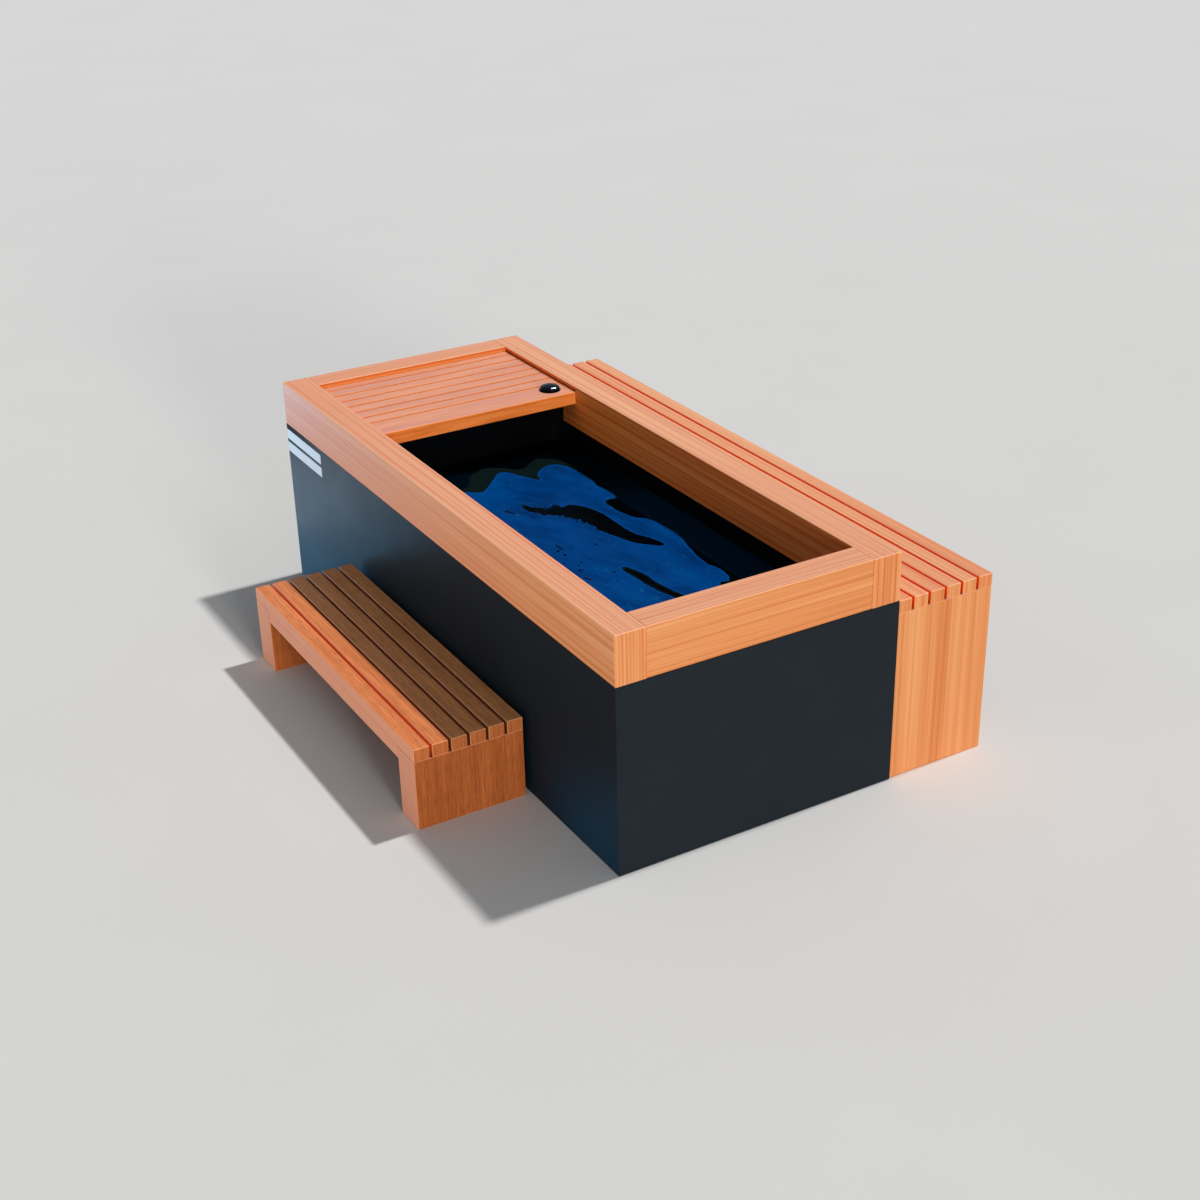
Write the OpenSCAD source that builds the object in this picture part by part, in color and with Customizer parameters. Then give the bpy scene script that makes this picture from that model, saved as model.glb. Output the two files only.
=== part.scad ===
// Cold plunge tub: an insulated basin in a panelled box with a timber rim, a slatted lid over the
// service end with its air button, a bench along the back and a step along the front.
// The origin is on the floor at the centre of the tub's footprint. +X runs along the tub to its
// open end, the service end is at -X, the step at -Y and the bench at +Y.

/* [Tub body] */
// Length of the tub without the bench and the step
tub_l = 1840; // [1750:5:2100]
// Width of the tub without the bench and the step
tub_w = 752; // [720:2:860]
// Height of the rim above the floor
tub_h = 600; // [575:5:680]
// Thickness of the side panels
panel_t = 15; // [10:0.5:18]
// Gap between the side panels and the floor
panel_lift = 2; // [1:0.5:10]
// Thickness of the foam between the panels and the basin
foam_t = 55; // [50:1:62]
// Side of the square frame posts
post_s = 45; // [35:1:48]
// Side of the square runners under the base
runner_s = 60; // [45:1:70]
// Thickness of the base board
base_t = 12; // [9:0.5:18]

/* [Rim] */
// Height of the timber rim
rim_h = 124; // [100:1:140]
// Thickness of the rim's timbers
rim_t = 78; // [72:1:90]
// How far the end rails stand back from the ends of the long rails
rim_setback = 1.5; // [0.5:0.1:4]
// Width of the small chamfer on the timber's edges
board_edge = 1.5; // [0.5:0.1:3]
// Radius of the dowels in the rim's corners
dowel_r = 8; // [5:0.5:10]
// Length of the dowels
dowel_l = 100; // [60:2:120]

/* [Basin] */
// Length of the service end, from the tub's far end to the basin's far wall
service_l = 426; // [415:1:520]
// Thickness of the basin's shell
shell_t = 6; // [4:0.5:8]
// Foam under the basin's floor
floor_foam_t = 40; // [38:1:60]
// Foam behind the basin's far wall
far_foam_t = 30; // [20:1:40]
// Radius of the basin's upright corners
basin_r = 50; // [40:1:80]
// Radius of the cove round the basin's floor
cove_r = 25; // [10:1:35]
// Thickness of the divider between the basin and the service end
divider_t = 12; // [9:0.5:16]

/* [Lid] */
// Depth of the lid's top below the rim's top
lid_drop = 13; // [6:0.5:16]
// Thickness of the lid's boards
lid_t = 20; // [18:0.5:24]
// Open gap between two lid boards
lid_gap = 3.8; // [2:0.1:6]
// How far the lid reaches out over the basin
lid_overhang = 74.5; // [60:0.5:95]
// Width of the nosing board at the lid's front
nosing_w = 92; // [86:1:110]
// Height of the fascia that hangs from the nosing, with the nosing itself
fascia_h = 37; // [30:1:50]
// Thickness of the fascia
fascia_t = 24; // [15:1:25]
// Thickness of the tongues between the boards
tongue_t = 6; // [4:0.5:8]
// Radius of the lid boards' edges
lid_round = 3; // [1:0.5:5]
// Width of the battens under the lid
batten_w = 45; // [30:1:60]
// Thickness of the battens under the lid
batten_t = 20; // [15:1:25]

/* [Air button] */
// Distance from the lid's end to the button's centre
button_side = 51.5; // [42:0.5:60]
// Distance from the lid's front to the button's centre
button_back = 54; // [54:0.5:57]
// Radius of the button's dome
dome_r = 27.8; // [24:0.1:28]
// Height of the dome above its skirt
dome_h = 13; // [10.5:0.5:16]
// Radius of the dome's shoulder
dome_shoulder = 9; // [5:0.5:10]
// Travel of the button
button_travel = 4; // [2:0.5:5]

/* [Bench and step] */
// How far the bench's near end lies in from the tub's end
bench_inset = 4; // [0:0.5:60]
// How far the bench's top lies below the rim
bench_drop = 4; // [0:0.5:60]
// Length of the step
step_l = 988; // [700:2:1300]
// Height of the step
step_h = 214; // [180:2:260]
// Distance of the step's middle from the tub's middle
step_shift = 23; // [-200:1:200]
// Gap between the step and the tub
step_gap = 15; // [5:1:60]
// Width of one slat
slat_w = 40.4; // [35:0.2:60]
// Gap between two slats
slat_gap = 7.5; // [4:0.5:12]
// Thickness of the slats
slat_t = 33; // [22:1:45]
// Thickness of the upright end legs
leg_t = 90; // [60:1:110]
// Height of the aprons under the slats
apron_h = 33; // [25:1:60]
// Thickness of the aprons under the slats
apron_t = 40; // [25:1:44]

/* [Service end] */
// Free width between the chiller and the pump
pump_room = 70; // [62:1:90]
// Free height between the chiller and the rim
chiller_room = 74; // [50:1:120]
// Distance of the fan's rim from the casing's nearer faces
fan_side = 53; // [45:1:75]
// Number of blades on the fan
fan_blades = 7; // [5:1:9]
// Radius of the pump's volute
volute_r = 60; // [52:1:64]
// Radius of the pump's motor
motor_r = 52; // [44:1:54]
// Length of the pump's motor
motor_l = 178; // [140:2:184]
// Outer radius of the filter's canister
filter_r = 70; // [60:1:74]
// Free height between the filter's cap and the lid's cleats
filter_room = 69; // [20:1:100]
// Pleats round the filter's cartridge
pleats = 40; // [24:1:60]
// Outer radius of the pipes
pipe_r = 16; // [13:0.5:17]
// Wall of the pipes
pipe_t = 3; // [2:0.5:4]

/* [Hidden] */
$fn = 96;
lid_boards = 7;
slats = 6;

// Colours of the finishes
timber = "peru";
timber_shade = "sienna";
softwood = "burlywood";
panel_black = [0.09, 0.10, 0.11];
liner_black = [0.13, 0.14, 0.15];
foam = "khaki";
glossy_black = [0.03, 0.03, 0.035];
steel = "silver";
plastic_grey = "dimgray";
plastic_white = "gainsboro";
handle_red = "firebrick";

// Overrun of a cut past a face, and the three clearances
cut = 1;
fit = 0.05;
seat = 0.3;
foam_clear = 0.5;

// Faces of the tub's box
in_x = tub_l / 2 - panel_t;
in_y = tub_w / 2 - panel_t;
base_z = runner_s + base_t;
rim_z = tub_h - rim_h;
rail_in_x = tub_l / 2 - rim_setback - rim_t;
rail_in_y = tub_w / 2 - rim_t;
runner_inset = 15;
mid_post_share = 0.11;
runner_y_share = 0.875;
mid_post_x = tub_l * mid_post_share;

// Faces of the basin
basin_x0 = -tub_l / 2 + service_l;
basin_x1 = in_x - foam_t - shell_t;
basin_y = in_y - foam_t - shell_t;
basin_l = basin_x1 - basin_x0;
basin_cx = (basin_x0 + basin_x1) / 2;
basin_z = base_z + floor_foam_t + shell_t;
flange_z = rim_z - shell_t;
flange_far = 30;
flange_x0 = basin_x0 - flange_far;
foam_x0 = basin_x0 - shell_t - far_foam_t;

// Dowels of the rim's corners
dowel_z_share = 0.225;
dowel_dz = rim_h * dowel_z_share;
dowel_z = rim_z + rim_h / 2;
dowel_x = rail_in_x + rim_t / 2;
dowel_end = 0.5;

// The lid and what it lies on
lid_end_play = 2.5;
lid_side_play = 1.5;
last_board_share = 0.665;
lid_z1 = tub_h - lid_drop;
lid_z0 = lid_z1 - lid_t;
lid_x0 = -rail_in_x + lid_end_play;
lid_x1 = basin_x0 + lid_overhang;
lid_y = rail_in_y - lid_side_play;
board_w = (lid_x1 - lid_x0 - nosing_w - lid_boards * lid_gap) / (lid_boards - 1 + last_board_share);
tongue_in = 5;
tongue_play = 1;
groove_in = tongue_in + tongue_play;
groove_play = 0.15;
cleat_s = 25;
batten_play = 3.5;
batten_x0 = -rail_in_x + cleat_s + batten_play;
batten_x1 = lid_x1 - fascia_t - dowel_end;
notch_play = 1.5;

// The air button, in the nosing
button_x = lid_x1 - button_back;
button_y = lid_y - button_side;
bezel_w = 2.7;
bezel_r = dome_r + bezel_w;
bezel_t = 1.6;
barrel_t = 1.3;
barrel_r = dome_r + fit + barrel_t;
barrel_floor = 3;
barrel_l = lid_t - barrel_floor;
pocket_play = 0.2;
stem_r = 10;
stem_l = 59;
barb_r = 5;
barb_l = 14;
air_r = 2.5;
nut_r = 16;
nut_h = 8;
batten_gap = 16.7;
batten_y = button_y - nut_r - batten_gap - batten_w / 2;
skirt_top = 2.4;
skirt_t = 2.5;
skirt_play = 1;
skirt_l = barrel_l - barrel_floor - button_travel - skirt_play;

// The bench and the step
slat_pitch = slat_w + slat_gap;
seat_d = slats * slat_w + (slats - 1) * slat_gap;
bench_x0 = -tub_l / 2;
bench_x1 = tub_l / 2 - bench_inset;
bench_mid = (bench_x0 + bench_x1) / 2;
bench_y0 = tub_w / 2 + seat;
bench_h = rim_z - bench_drop;
step_x0 = step_shift - step_l / 2;
step_x1 = step_shift + step_l / 2;
step_y0 = -tub_w / 2 - step_gap - seat_d;

// Sizes that the machines share
port_l = 8;
port_wall = 4;
port_r = pipe_r + port_wall;
pipe_bore = pipe_r - pipe_t;
bend_r = 30;
socket_l = 18;
socket_t = 2.5;

// The pump in plan, with its axis along X, and the filter in plan
collar_w = 6;
cap_r = filter_r + collar_w;
pump_gap = 15;
pump_side = 28;
filter_side = 41;
filter_run = 59.5;
volute_l = 55;
pump_x1 = foam_x0 - pump_gap;
volute_x0 = pump_x1 - volute_l;
motor_x0 = volute_x0 - motor_l;
discharge_x = pump_x1 - volute_l / 2;
filter_x = discharge_x - bend_r - filter_run - port_l - filter_r;
filter_y = in_y - filter_side - filter_r;
pump_y = filter_y - filter_r - motor_r - pump_side;

// The chiller, between the far panel and the basin's foam
chiller_gap = 4;
chiller_side = 11;
return_run = 47;
chiller_x0 = -in_x + post_s + chiller_gap;
chiller_x1 = pump_x1 - return_run - port_l;
chiller_y0 = -in_y + chiller_side;
chiller_y1 = pump_y - volute_r - pump_room;
chiller_l = chiller_x1 - chiller_x0;
chiller_w = chiller_y1 - chiller_y0;
chiller_h = rim_z - base_z - chiller_room;
chiller_round = 12;
seam_w = 2.5;
seam_d = 2;
seam_drop = 26;
fan_r = min(chiller_w, chiller_h) / 2 - fan_side;
fan_y = chiller_y0 + chiller_w / 2;
fan_z = base_z + chiller_h / 2;
fan_gap = 3;
fan_d = 40;
fan_in = 8;
fan_recess = 66;
hub_share = 0.28;
hub_r = fan_r * hub_share;
shaft_r = 6;
shaft_l = 52;
blade_t = 3;
blade_pitch = 38;
grille_t = 3;
grille_bar = 4;
grille_rings = 6;
grille_pitch = (fan_r - hub_r) / (grille_rings - 0.5);
grille_frame = 16;
grille_spokes = 6;

// Vent slots in the far panel, beside the fan
slot_rows = 9;
slot_in = 12;
slot_h_share = 0.38;
slot_l = 2 * (fan_r - slot_in);
slot_pitch = slot_l / slot_rows;
slot_h = slot_pitch * slot_h_share;

// The pump, with its suction port just above the basin's cove
suction_r = 36;
suction_gap = 1;
pump_z = basin_z + cove_r + suction_gap + suction_r;
fins = 12;
fin_t = 2.5;
fin_h = 5;
motor_bell_l = 36;
fin_pitch = (motor_l - 2 * motor_bell_l) / fins;
foot_x = 44;
foot_w = 92;
foot_l = 120;
foot_t = 15;
foot_base_t = 11;
foot_top_gap = 8;
box_x = 54;
box_w = 60;
box_l = 80;
box_h = 22;

// The filter's canister
filter_wall = 6;
collar_h = 14;
cap_h = 20;
cap_ribs = 12;
cap_rib_r = 5;
cap_grip_h = 12;
cap_grip_w = 16;
filter_z1 = lid_z0 - 2 * seat - cleat_s - cap_grip_h - cap_h - filter_room;
filter_h = filter_z1 - base_z;
spigot_l = 12;
spigot_play = 0.4;
end_cap_h = 8;
cartridge_side = 18;
cartridge_r = filter_r - cartridge_side;
pleat_d = 12;
core_r = 16;
cartridge_gap = 3;

// The pipe runs: the lowest and the highest place of the run from the pump to the filter
run_low = pump_z + volute_r + port_l + socket_l + bend_r;
run_high = filter_z1 - collar_h - port_r;
run_share = 0.3;
run_z = run_low + run_share * (run_high - run_low);
outlet_drop = 32;
outlet_z = base_z + chiller_h - outlet_drop;
return_side = 40;
return_y = fan_y + return_side;
return_drop = 72;
return_z = base_z + chiller_h - return_drop;

// The fittings in the basin's far wall
wall_nut_r = 28;
wall_nut_t = 8;
suction_t = 8;
grate_t = 2.2;
grate_r_share = 0.72;
suction_slots = 8;
suction_slot_w = 5;
suction_slot_share = 0.44;
suction_slot_x_share = 0.42;
jet_r = 32;
jet_t = 6;
eyeball_r = 15.5;
eyeball_bore = 8;

// The drain, under the basin's floor
drain_side = 39;
drain_y = chiller_y1 + drain_side;
drain_in = 60;
drain_x = basin_x0 + drain_in;
union_w = 12;
union_r = 19.5;
union_gap = 0.5;
drain_z = base_z + union_r + union_gap;
sump_r = 24;
sump_wall = 4;
sump_bed = 2;
drain_flange_r = 32;
drain_flange_t = 3;
drain_slots = 6;
drain_slot_w = 4;
valve_r = 19;
valve_l = 60;
valve_in = 20;
valve_x0 = -in_x + valve_in;
valve_x1 = valve_x0 + valve_l;
valve_x = (valve_x0 + valve_x1) / 2;
stem_top = 36;
bonnet_h = 23;
handle_stem_r = 5;
handle_hub_r = 10;
handle_t = 5;
handle_w = 14;
handle_l = 72;
escutcheon_r = 24;
escutcheon_t = 4;
spout_r = 13;
spout_l = 18;

// The power gland
gland_r = 10;
gland_side = 26;
gland_y = in_y - post_s - gland_side;
gland_lift = 48;
gland_z = base_z + gland_lift;
gland_hex_r = 15;
gland_hex_t = 6;
gland_dome_l = 16;
gland_dome_r1 = 13;
gland_dome_r2 = 8;
gland_bore = 5;

// A plain block between two corners
module block(low, high) translate(low) cube(high - low);

// Section of a board with its four long edges chamfered
module eased(w, h, c)
    polygon([[c, 0], [w - c, 0], [w, c], [w, h - c], [w - c, h], [c, h], [0, h - c], [0, c]]);

// A board between two corners, chamfered on all its edges
module board(low, high, c = board_edge) {
    size = high - low;
    translate(low) intersection() {
        linear_extrude(size.z) eased(size.x, size.y, c);
        translate([0, size.y, 0]) rotate([90, 0, 0]) linear_extrude(size.y) eased(size.x, size.z, c);
        rotate([90, 0, 90]) linear_extrude(size.x) eased(size.y, size.z, c);
    }
}

// A rectangle with round corners, from the origin
module rounded(w, h, r) {
    translate([r, 0]) square([w - 2 * r, h]);
    translate([0, r]) square([w, h - 2 * r]);
    for (x = [r, w - r], y = [r, h - r]) translate([x, y]) circle(r);
}

// A slot with round ends, centred
module slot(l, w) {
    square([l - w, w], center = true);
    for (s = [-1, 1]) translate([s * (l - w) / 2, 0]) circle(w / 2);
}

// Children stand along +X from a point
module along_x(x, y, z) translate([x, y, z]) rotate([0, 90, 0]) children();

// Children stand along -X from a point
module back_x(x, y, z) translate([x, y, z]) rotate([0, -90, 0]) children();

// Children stand along +Y from a point
module along_y(x, y, z) translate([x, y, z]) rotate([-90, 0, 0]) children();

module ring(r, bore, h) difference() {
    cylinder(r = r, h = h);
    translate([0, 0, -cut]) cylinder(r = bore, h = h + 2 * cut);
}

// Section across the basin, with coves of radius f at the floor
module coved(w, h, f) {
    translate([-w / 2, f]) square([w, h - f]);
    translate([-w / 2 + f, 0]) square([w - 2 * f, h]);
    for (s = [-1, 1]) translate([s * (w / 2 - f), f]) circle(f);
}

// The basin's form: upright corners of radius r and a cove of radius f round the floor
module basin_form(l, w, h, r, f) {
    rotate([90, 0, 90]) translate([0, 0, r - l / 2]) linear_extrude(l - 2 * r) coved(w, h, f);
    rotate([90, 0, 0]) translate([0, 0, r - w / 2]) linear_extrude(w - 2 * r) coved(l, h, f);
    for (sx = [-1, 1], sy = [-1, 1]) translate([sx * (l / 2 - r), sy * (w / 2 - r), 0])
        rotate_extrude() intersection() {
            coved(2 * r, h, f);
            square([r, h]);
        }
}

module base_runners() color(softwood) for (s = [-1, 0, 1]) {
    y = s * (in_y * runner_y_share);
    block([-in_x + runner_inset, y - runner_s / 2, 0], [in_x - runner_inset, y + runner_s / 2, runner_s]);
}

module base_board() color(softwood) block([-in_x, -in_y, runner_s], [in_x, in_y, base_z]);

// The two posts of one station along the tub, from x to x + post_s
module post_pair(x, top) for (s = [-1, 1]) {
    y = s * (in_y - post_s / 2);
    block([x, y - post_s / 2, base_z], [x + post_s, y + post_s / 2, top]);
}

module frame_posts() color(softwood) {
    post_pair(-in_x, rim_z);
    post_pair(foam_x0 - post_s, rim_z);
    post_pair(mid_post_x, flange_z);
    post_pair(in_x - post_s, flange_z);
}

// Front and back panels, on the side s of the tub
module long_panel(s) color(panel_black)
    translate([0, s * (in_y + panel_t / 2), 0])
        block([-tub_l / 2, -panel_t / 2, panel_lift], [tub_l / 2, panel_t / 2, rim_z]);

module panel_near() color(panel_black) block([in_x, -in_y, panel_lift], [tub_l / 2, in_y, rim_z]);

module panel_far() color(panel_black) difference() {
    block([-tub_l / 2, -in_y, panel_lift], [-in_x, in_y, rim_z]);
    for (i = [0:slot_rows - 1])
        back_x(-in_x + cut, fan_y, fan_z + (i - (slot_rows - 1) / 2) * slot_pitch)
            linear_extrude(panel_t + 2 * cut) rotate(90) slot(slot_l, slot_h);
    back_x(-in_x + cut, drain_y, drain_z) cylinder(r = pipe_r + seat, h = panel_t + 2 * cut);
    back_x(-in_x + cut, gland_y, gland_z) cylinder(r = gland_r + fit, h = panel_t + 2 * cut);
}

module insulation() color(foam) difference() {
    block([foam_x0, -in_y, base_z], [in_x, in_y, flange_z]);
    translate([basin_cx, 0, basin_z - shell_t - foam_clear])
        basin_form(basin_l + 2 * (shell_t + foam_clear), 2 * (basin_y + shell_t + foam_clear), tub_h,
                   basin_r + shell_t, cove_r + shell_t);
    post_pair(mid_post_x, flange_z + cut);
    post_pair(in_x - post_s, flange_z + cut);
    back_x(basin_x0, pump_y, pump_z) cylinder(r = wall_nut_r + seat, h = shell_t + far_foam_t + cut);
    back_x(basin_x0, return_y, return_z) cylinder(r = wall_nut_r + seat, h = shell_t + far_foam_t + cut);
    translate([drain_x, drain_y, base_z]) cylinder(r = sump_r + seat, h = floor_foam_t);
    back_x(drain_x, drain_y, drain_z) cylinder(r = port_r - cut, h = drain_x - foam_x0 + cut);
}

module shell() color(liner_black) difference() {
    union() {
        translate([basin_cx, 0, basin_z - shell_t])
            basin_form(basin_l + 2 * shell_t, 2 * (basin_y + shell_t), rim_z - basin_z + shell_t,
                       basin_r + shell_t, cove_r + shell_t);
        block([flange_x0, -in_y, flange_z], [in_x, in_y, rim_z]);
    }
    translate([basin_cx, 0, basin_z]) basin_form(basin_l, 2 * basin_y, tub_h, basin_r, cove_r);
    back_x(basin_x0 + cut, pump_y, pump_z) cylinder(r = pipe_r + seat, h = shell_t + 2 * cut);
    back_x(basin_x0 + cut, return_y, return_z) cylinder(r = pipe_r + seat, h = shell_t + 2 * cut);
    translate([drain_x, drain_y, basin_z - shell_t - cut])
        cylinder(r = sump_r + seat, h = shell_t + 2 * cut);
}

module divider() color(liner_black) difference() {
    block([basin_x0 - divider_t, -rail_in_y + foam_clear, rim_z],
          [basin_x0, rail_in_y - foam_clear, lid_z0 - seat]);
    for (s = [-1, 1]) translate([0, s * batten_y, 0])
        block([basin_x0 - divider_t - cut, -batten_w / 2 - notch_play, lid_z0 - batten_t - cut],
              [basin_x0 + cut, batten_w / 2 + notch_play, lid_z0 + cut]);
}

// The four dowels of one side, reaching l along Y from the middle of the joint both ways
module rim_dowel_set(s, r, l) for (sx = [-1, 1], sz = [-1, 1])
    along_y(sx * dowel_x, s * rail_in_y - l / 2, dowel_z + sz * dowel_dz) cylinder(r = r, h = l);

module long_rail(s) color(timber) difference() {
    translate([0, s * (rail_in_y + rim_t / 2), 0])
        board([-tub_l / 2, -rim_t / 2, rim_z], [tub_l / 2, rim_t / 2, tub_h]);
    rim_dowel_set(s, dowel_r + fit, dowel_l + 2 * dowel_end);
}

module end_rail(s) color(timber) difference() {
    translate([s * dowel_x, 0, 0]) board([-rim_t / 2, -rail_in_y, rim_z], [rim_t / 2, rail_in_y, tub_h]);
    for (side = [-1, 1]) rim_dowel_set(side, dowel_r + fit, dowel_l + 2 * dowel_end);
}

module rim_dowels() color(softwood) for (s = [-1, 1]) rim_dowel_set(s, dowel_r, dowel_l);

module lid_cleats() color(timber_shade) {
    z1 = lid_z0 - seat;
    for (s = [-1, 1]) translate([0, s * (rail_in_y - cleat_s / 2), 0])
        block([-rail_in_x, -cleat_s / 2, z1 - cleat_s], [basin_x0 - divider_t, cleat_s / 2, z1]);
    block([-rail_in_x, -rail_in_y + cleat_s, z1 - cleat_s],
          [-rail_in_x + cleat_s, rail_in_y - cleat_s, z1]);
}

// Section of a lid board: round edges, a tongue towards the nosing and a groove behind
module lid_section(w, tongue, groove) difference() {
    union() {
        rounded(w, lid_t, lid_round);
        if (tongue) translate([w - tongue_in, (lid_t - tongue_t) / 2])
            square([lid_gap + 2 * tongue_in, tongue_t]);
    }
    if (groove) translate([-cut, (lid_t - tongue_t) / 2 - groove_play])
        square([groove_in + cut, tongue_t + 2 * groove_play]);
}

// A lid section drawn out over the lid's width, its low corner at x and the lid's underside
module across_lid(x) translate([x, lid_y, lid_z0]) rotate([90, 0, 0]) linear_extrude(2 * lid_y) children();

module lid_board(i) color(timber) {
    last = i == lid_boards;
    w = last ? board_w * last_board_share : board_w;
    x1 = lid_x1 - nosing_w - lid_gap - (i - 1) * (board_w + lid_gap);
    across_lid(x1 - w) lid_section(w, true, !last);
}

module lid_nosing() color(timber) difference() {
    across_lid(lid_x1 - nosing_w) {
        lid_section(nosing_w, false, true);
        translate([nosing_w - fascia_t, lid_t - fascia_h]) rounded(fascia_t, fascia_h, lid_round);
    }
    translate([button_x, button_y, lid_z1 - barrel_l])
        cylinder(r = barrel_r + pocket_play, h = barrel_l + cut);
    translate([button_x, button_y, lid_z0 - cut]) cylinder(r = stem_r + pocket_play, h = lid_t);
}

module lid_battens() color(timber_shade) for (s = [-1, 1]) translate([0, s * batten_y, 0])
    block([batten_x0, -batten_w / 2, lid_z0 - batten_t], [batten_x1, batten_w / 2, lid_z0]);

module button_housing() color(glossy_black) translate([button_x, button_y, lid_z1]) difference() {
    union() {
        cylinder(r = bezel_r, h = bezel_t);
        translate([0, 0, -barrel_l]) cylinder(r = barrel_r, h = barrel_l + bezel_t);
        translate([0, 0, -stem_l + barb_l]) cylinder(r = stem_r, h = stem_l - barb_l);
        translate([0, 0, -stem_l]) cylinder(r = barb_r, h = stem_l);
        for (i = [1, 2]) translate([0, 0, -stem_l + i * barb_l / 3])
            cylinder(r1 = barb_r, r2 = barb_r + cut, h = barb_l / 4);
    }
    translate([0, 0, -barrel_l + barrel_floor]) cylinder(r = dome_r + fit, h = barrel_l);
    translate([0, 0, -stem_l - cut]) cylinder(r = air_r, h = stem_l);
}

module button_nut() color(plastic_grey) translate([button_x, button_y, lid_z0 - nut_h]) difference() {
    cylinder(r = nut_r, h = nut_h, $fn = 6);
    translate([0, 0, -cut]) cylinder(r = stem_r + fit, h = nut_h + 2 * cut);
}

// Half-section of the dome: a shoulder arc that runs smoothly into a flatter crown arc
module dome_section() {
    s = dome_shoulder;
    k = dome_h - s;
    d = (pow(dome_r - s, 2) - pow(k, 2)) / (2 * k);
    crown_r = dome_h + d;
    meet_x = crown_r * (dome_r - s) / (crown_r - s);
    intersection() {
        translate([0, -d]) circle(crown_r);
        square([meet_x, dome_h]);
    }
    intersection() {
        translate([dome_r - s, 0]) circle(s);
        translate([meet_x - fit, 0]) square([dome_r, dome_h]);
    }
}

module button_dome() color(glossy_black) translate([button_x, button_y, lid_z1 + bezel_t + skirt_top])
    rotate_extrude() {
        skirt = skirt_l + bezel_t + skirt_top;
        dome_section();
        translate([0, -skirt_top]) square([dome_r, skirt_top]);
        translate([dome_r - skirt_t, -skirt]) square([skirt_t, skirt]);
    }

// Slat i of a seat whose near low corner of slats is at x0, y0, with its top at z1
module seat_slat(i, x0, x1, y0, z1) color(timber)
    board([x0, y0 + (i - 1) * slat_pitch, z1 - slat_t], [x1, y0 + (i - 1) * slat_pitch + slat_w, z1]);

// A solid leg under the slats, centred at x
module seat_leg(x, y0, z1) color(timber)
    board([x - leg_t / 2, y0, 0], [x + leg_t / 2, y0 + seat_d, z1 - slat_t]);

// Front and back aprons and one cross rail between two legs
module seat_bay(x0, x1, y0, z1) {
    low = z1 - slat_t - apron_h;
    high = z1 - slat_t;
    middle = (x0 + x1) / 2;
    for (y = [y0, y0 + seat_d - apron_t]) board([x0, y, low], [x1, y + apron_t, high]);
    board([middle - apron_t / 2, y0 + apron_t, low], [middle + apron_t / 2, y0 + seat_d - apron_t, high]);
}

module bench_slat(i) seat_slat(i, bench_x0, bench_x1, bench_y0, bench_h);
module bench_leg(x) seat_leg(x, bench_y0, bench_h);
module bench_rails() color(timber) {
    seat_bay(bench_x0 + leg_t, bench_mid - leg_t / 2, bench_y0, bench_h);
    seat_bay(bench_mid + leg_t / 2, bench_x1 - leg_t, bench_y0, bench_h);
}

module step_slat(i) seat_slat(i, step_x0, step_x1, step_y0, step_h);
module step_leg(x) seat_leg(x, step_y0, step_h);
module step_rails() color(timber) seat_bay(step_x0 + leg_t, step_x1 - leg_t, step_y0, step_h);

module chiller_casing() color(plastic_grey) {
    difference() {
        translate([chiller_x0, chiller_y0, base_z])
            linear_extrude(chiller_h) rounded(chiller_l, chiller_w, chiller_round);
        // Shadow gap under the casing's lid
        translate([chiller_x0, chiller_y0, base_z + chiller_h - seam_drop])
            linear_extrude(seam_w) difference() {
                translate([-cut, -cut]) square([chiller_l + 2 * cut, chiller_w + 2 * cut]);
                translate([seam_d, seam_d])
                    rounded(chiller_l - 2 * seam_d, chiller_w - 2 * seam_d, chiller_round - seam_d);
            }
        along_x(chiller_x0 - cut, fan_y, fan_z) cylinder(r = fan_r + fan_gap, h = fan_recess + cut);
    }
    back_x(chiller_x0 + fan_recess + cut, fan_y, fan_z) cylinder(r = shaft_r, h = shaft_l + cut);
    along_y(filter_x, chiller_y1 - cut, outlet_z) ring(port_r, pipe_bore, port_l + cut);
    along_x(chiller_x1 - cut, return_y, return_z) ring(port_r, pipe_bore, port_l + cut);
}

module chiller_fan() color(glossy_black) along_x(chiller_x0 + fan_in, fan_y, fan_z) difference() {
    union() {
        cylinder(r = hub_r, h = fan_d);
        for (i = [0:fan_blades - 1]) rotate(i * 360 / fan_blades) intersection() {
            translate([0, 0, blade_t]) ring(fan_r, hub_r - cut, fan_d - 2 * blade_t);
            translate([0, 0, fan_d / 2]) rotate([blade_pitch, 0, 0]) translate([0, -blade_t / 2, -fan_d])
                cube([fan_r, blade_t, 2 * fan_d]);
        }
    }
    translate([0, 0, fan_recess - shaft_l - fan_in - cut]) cylinder(r = shaft_r + fit, h = fan_d);
}

module chiller_grille() color(steel) back_x(chiller_x0, fan_y, fan_z) linear_extrude(grille_t) {
    outer = fan_r + fan_gap + grille_frame;
    difference() {
        circle(outer);
        circle(outer - grille_frame);
    }
    for (i = [0:grille_rings - 1]) difference() {
        circle(hub_r + i * grille_pitch);
        circle(hub_r + i * grille_pitch - grille_bar);
    }
    for (i = [0:grille_spokes - 1]) rotate(i * 360 / grille_spokes)
        translate([hub_r - grille_bar, -grille_bar / 2]) square([outer - hub_r, grille_bar]);
}

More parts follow.
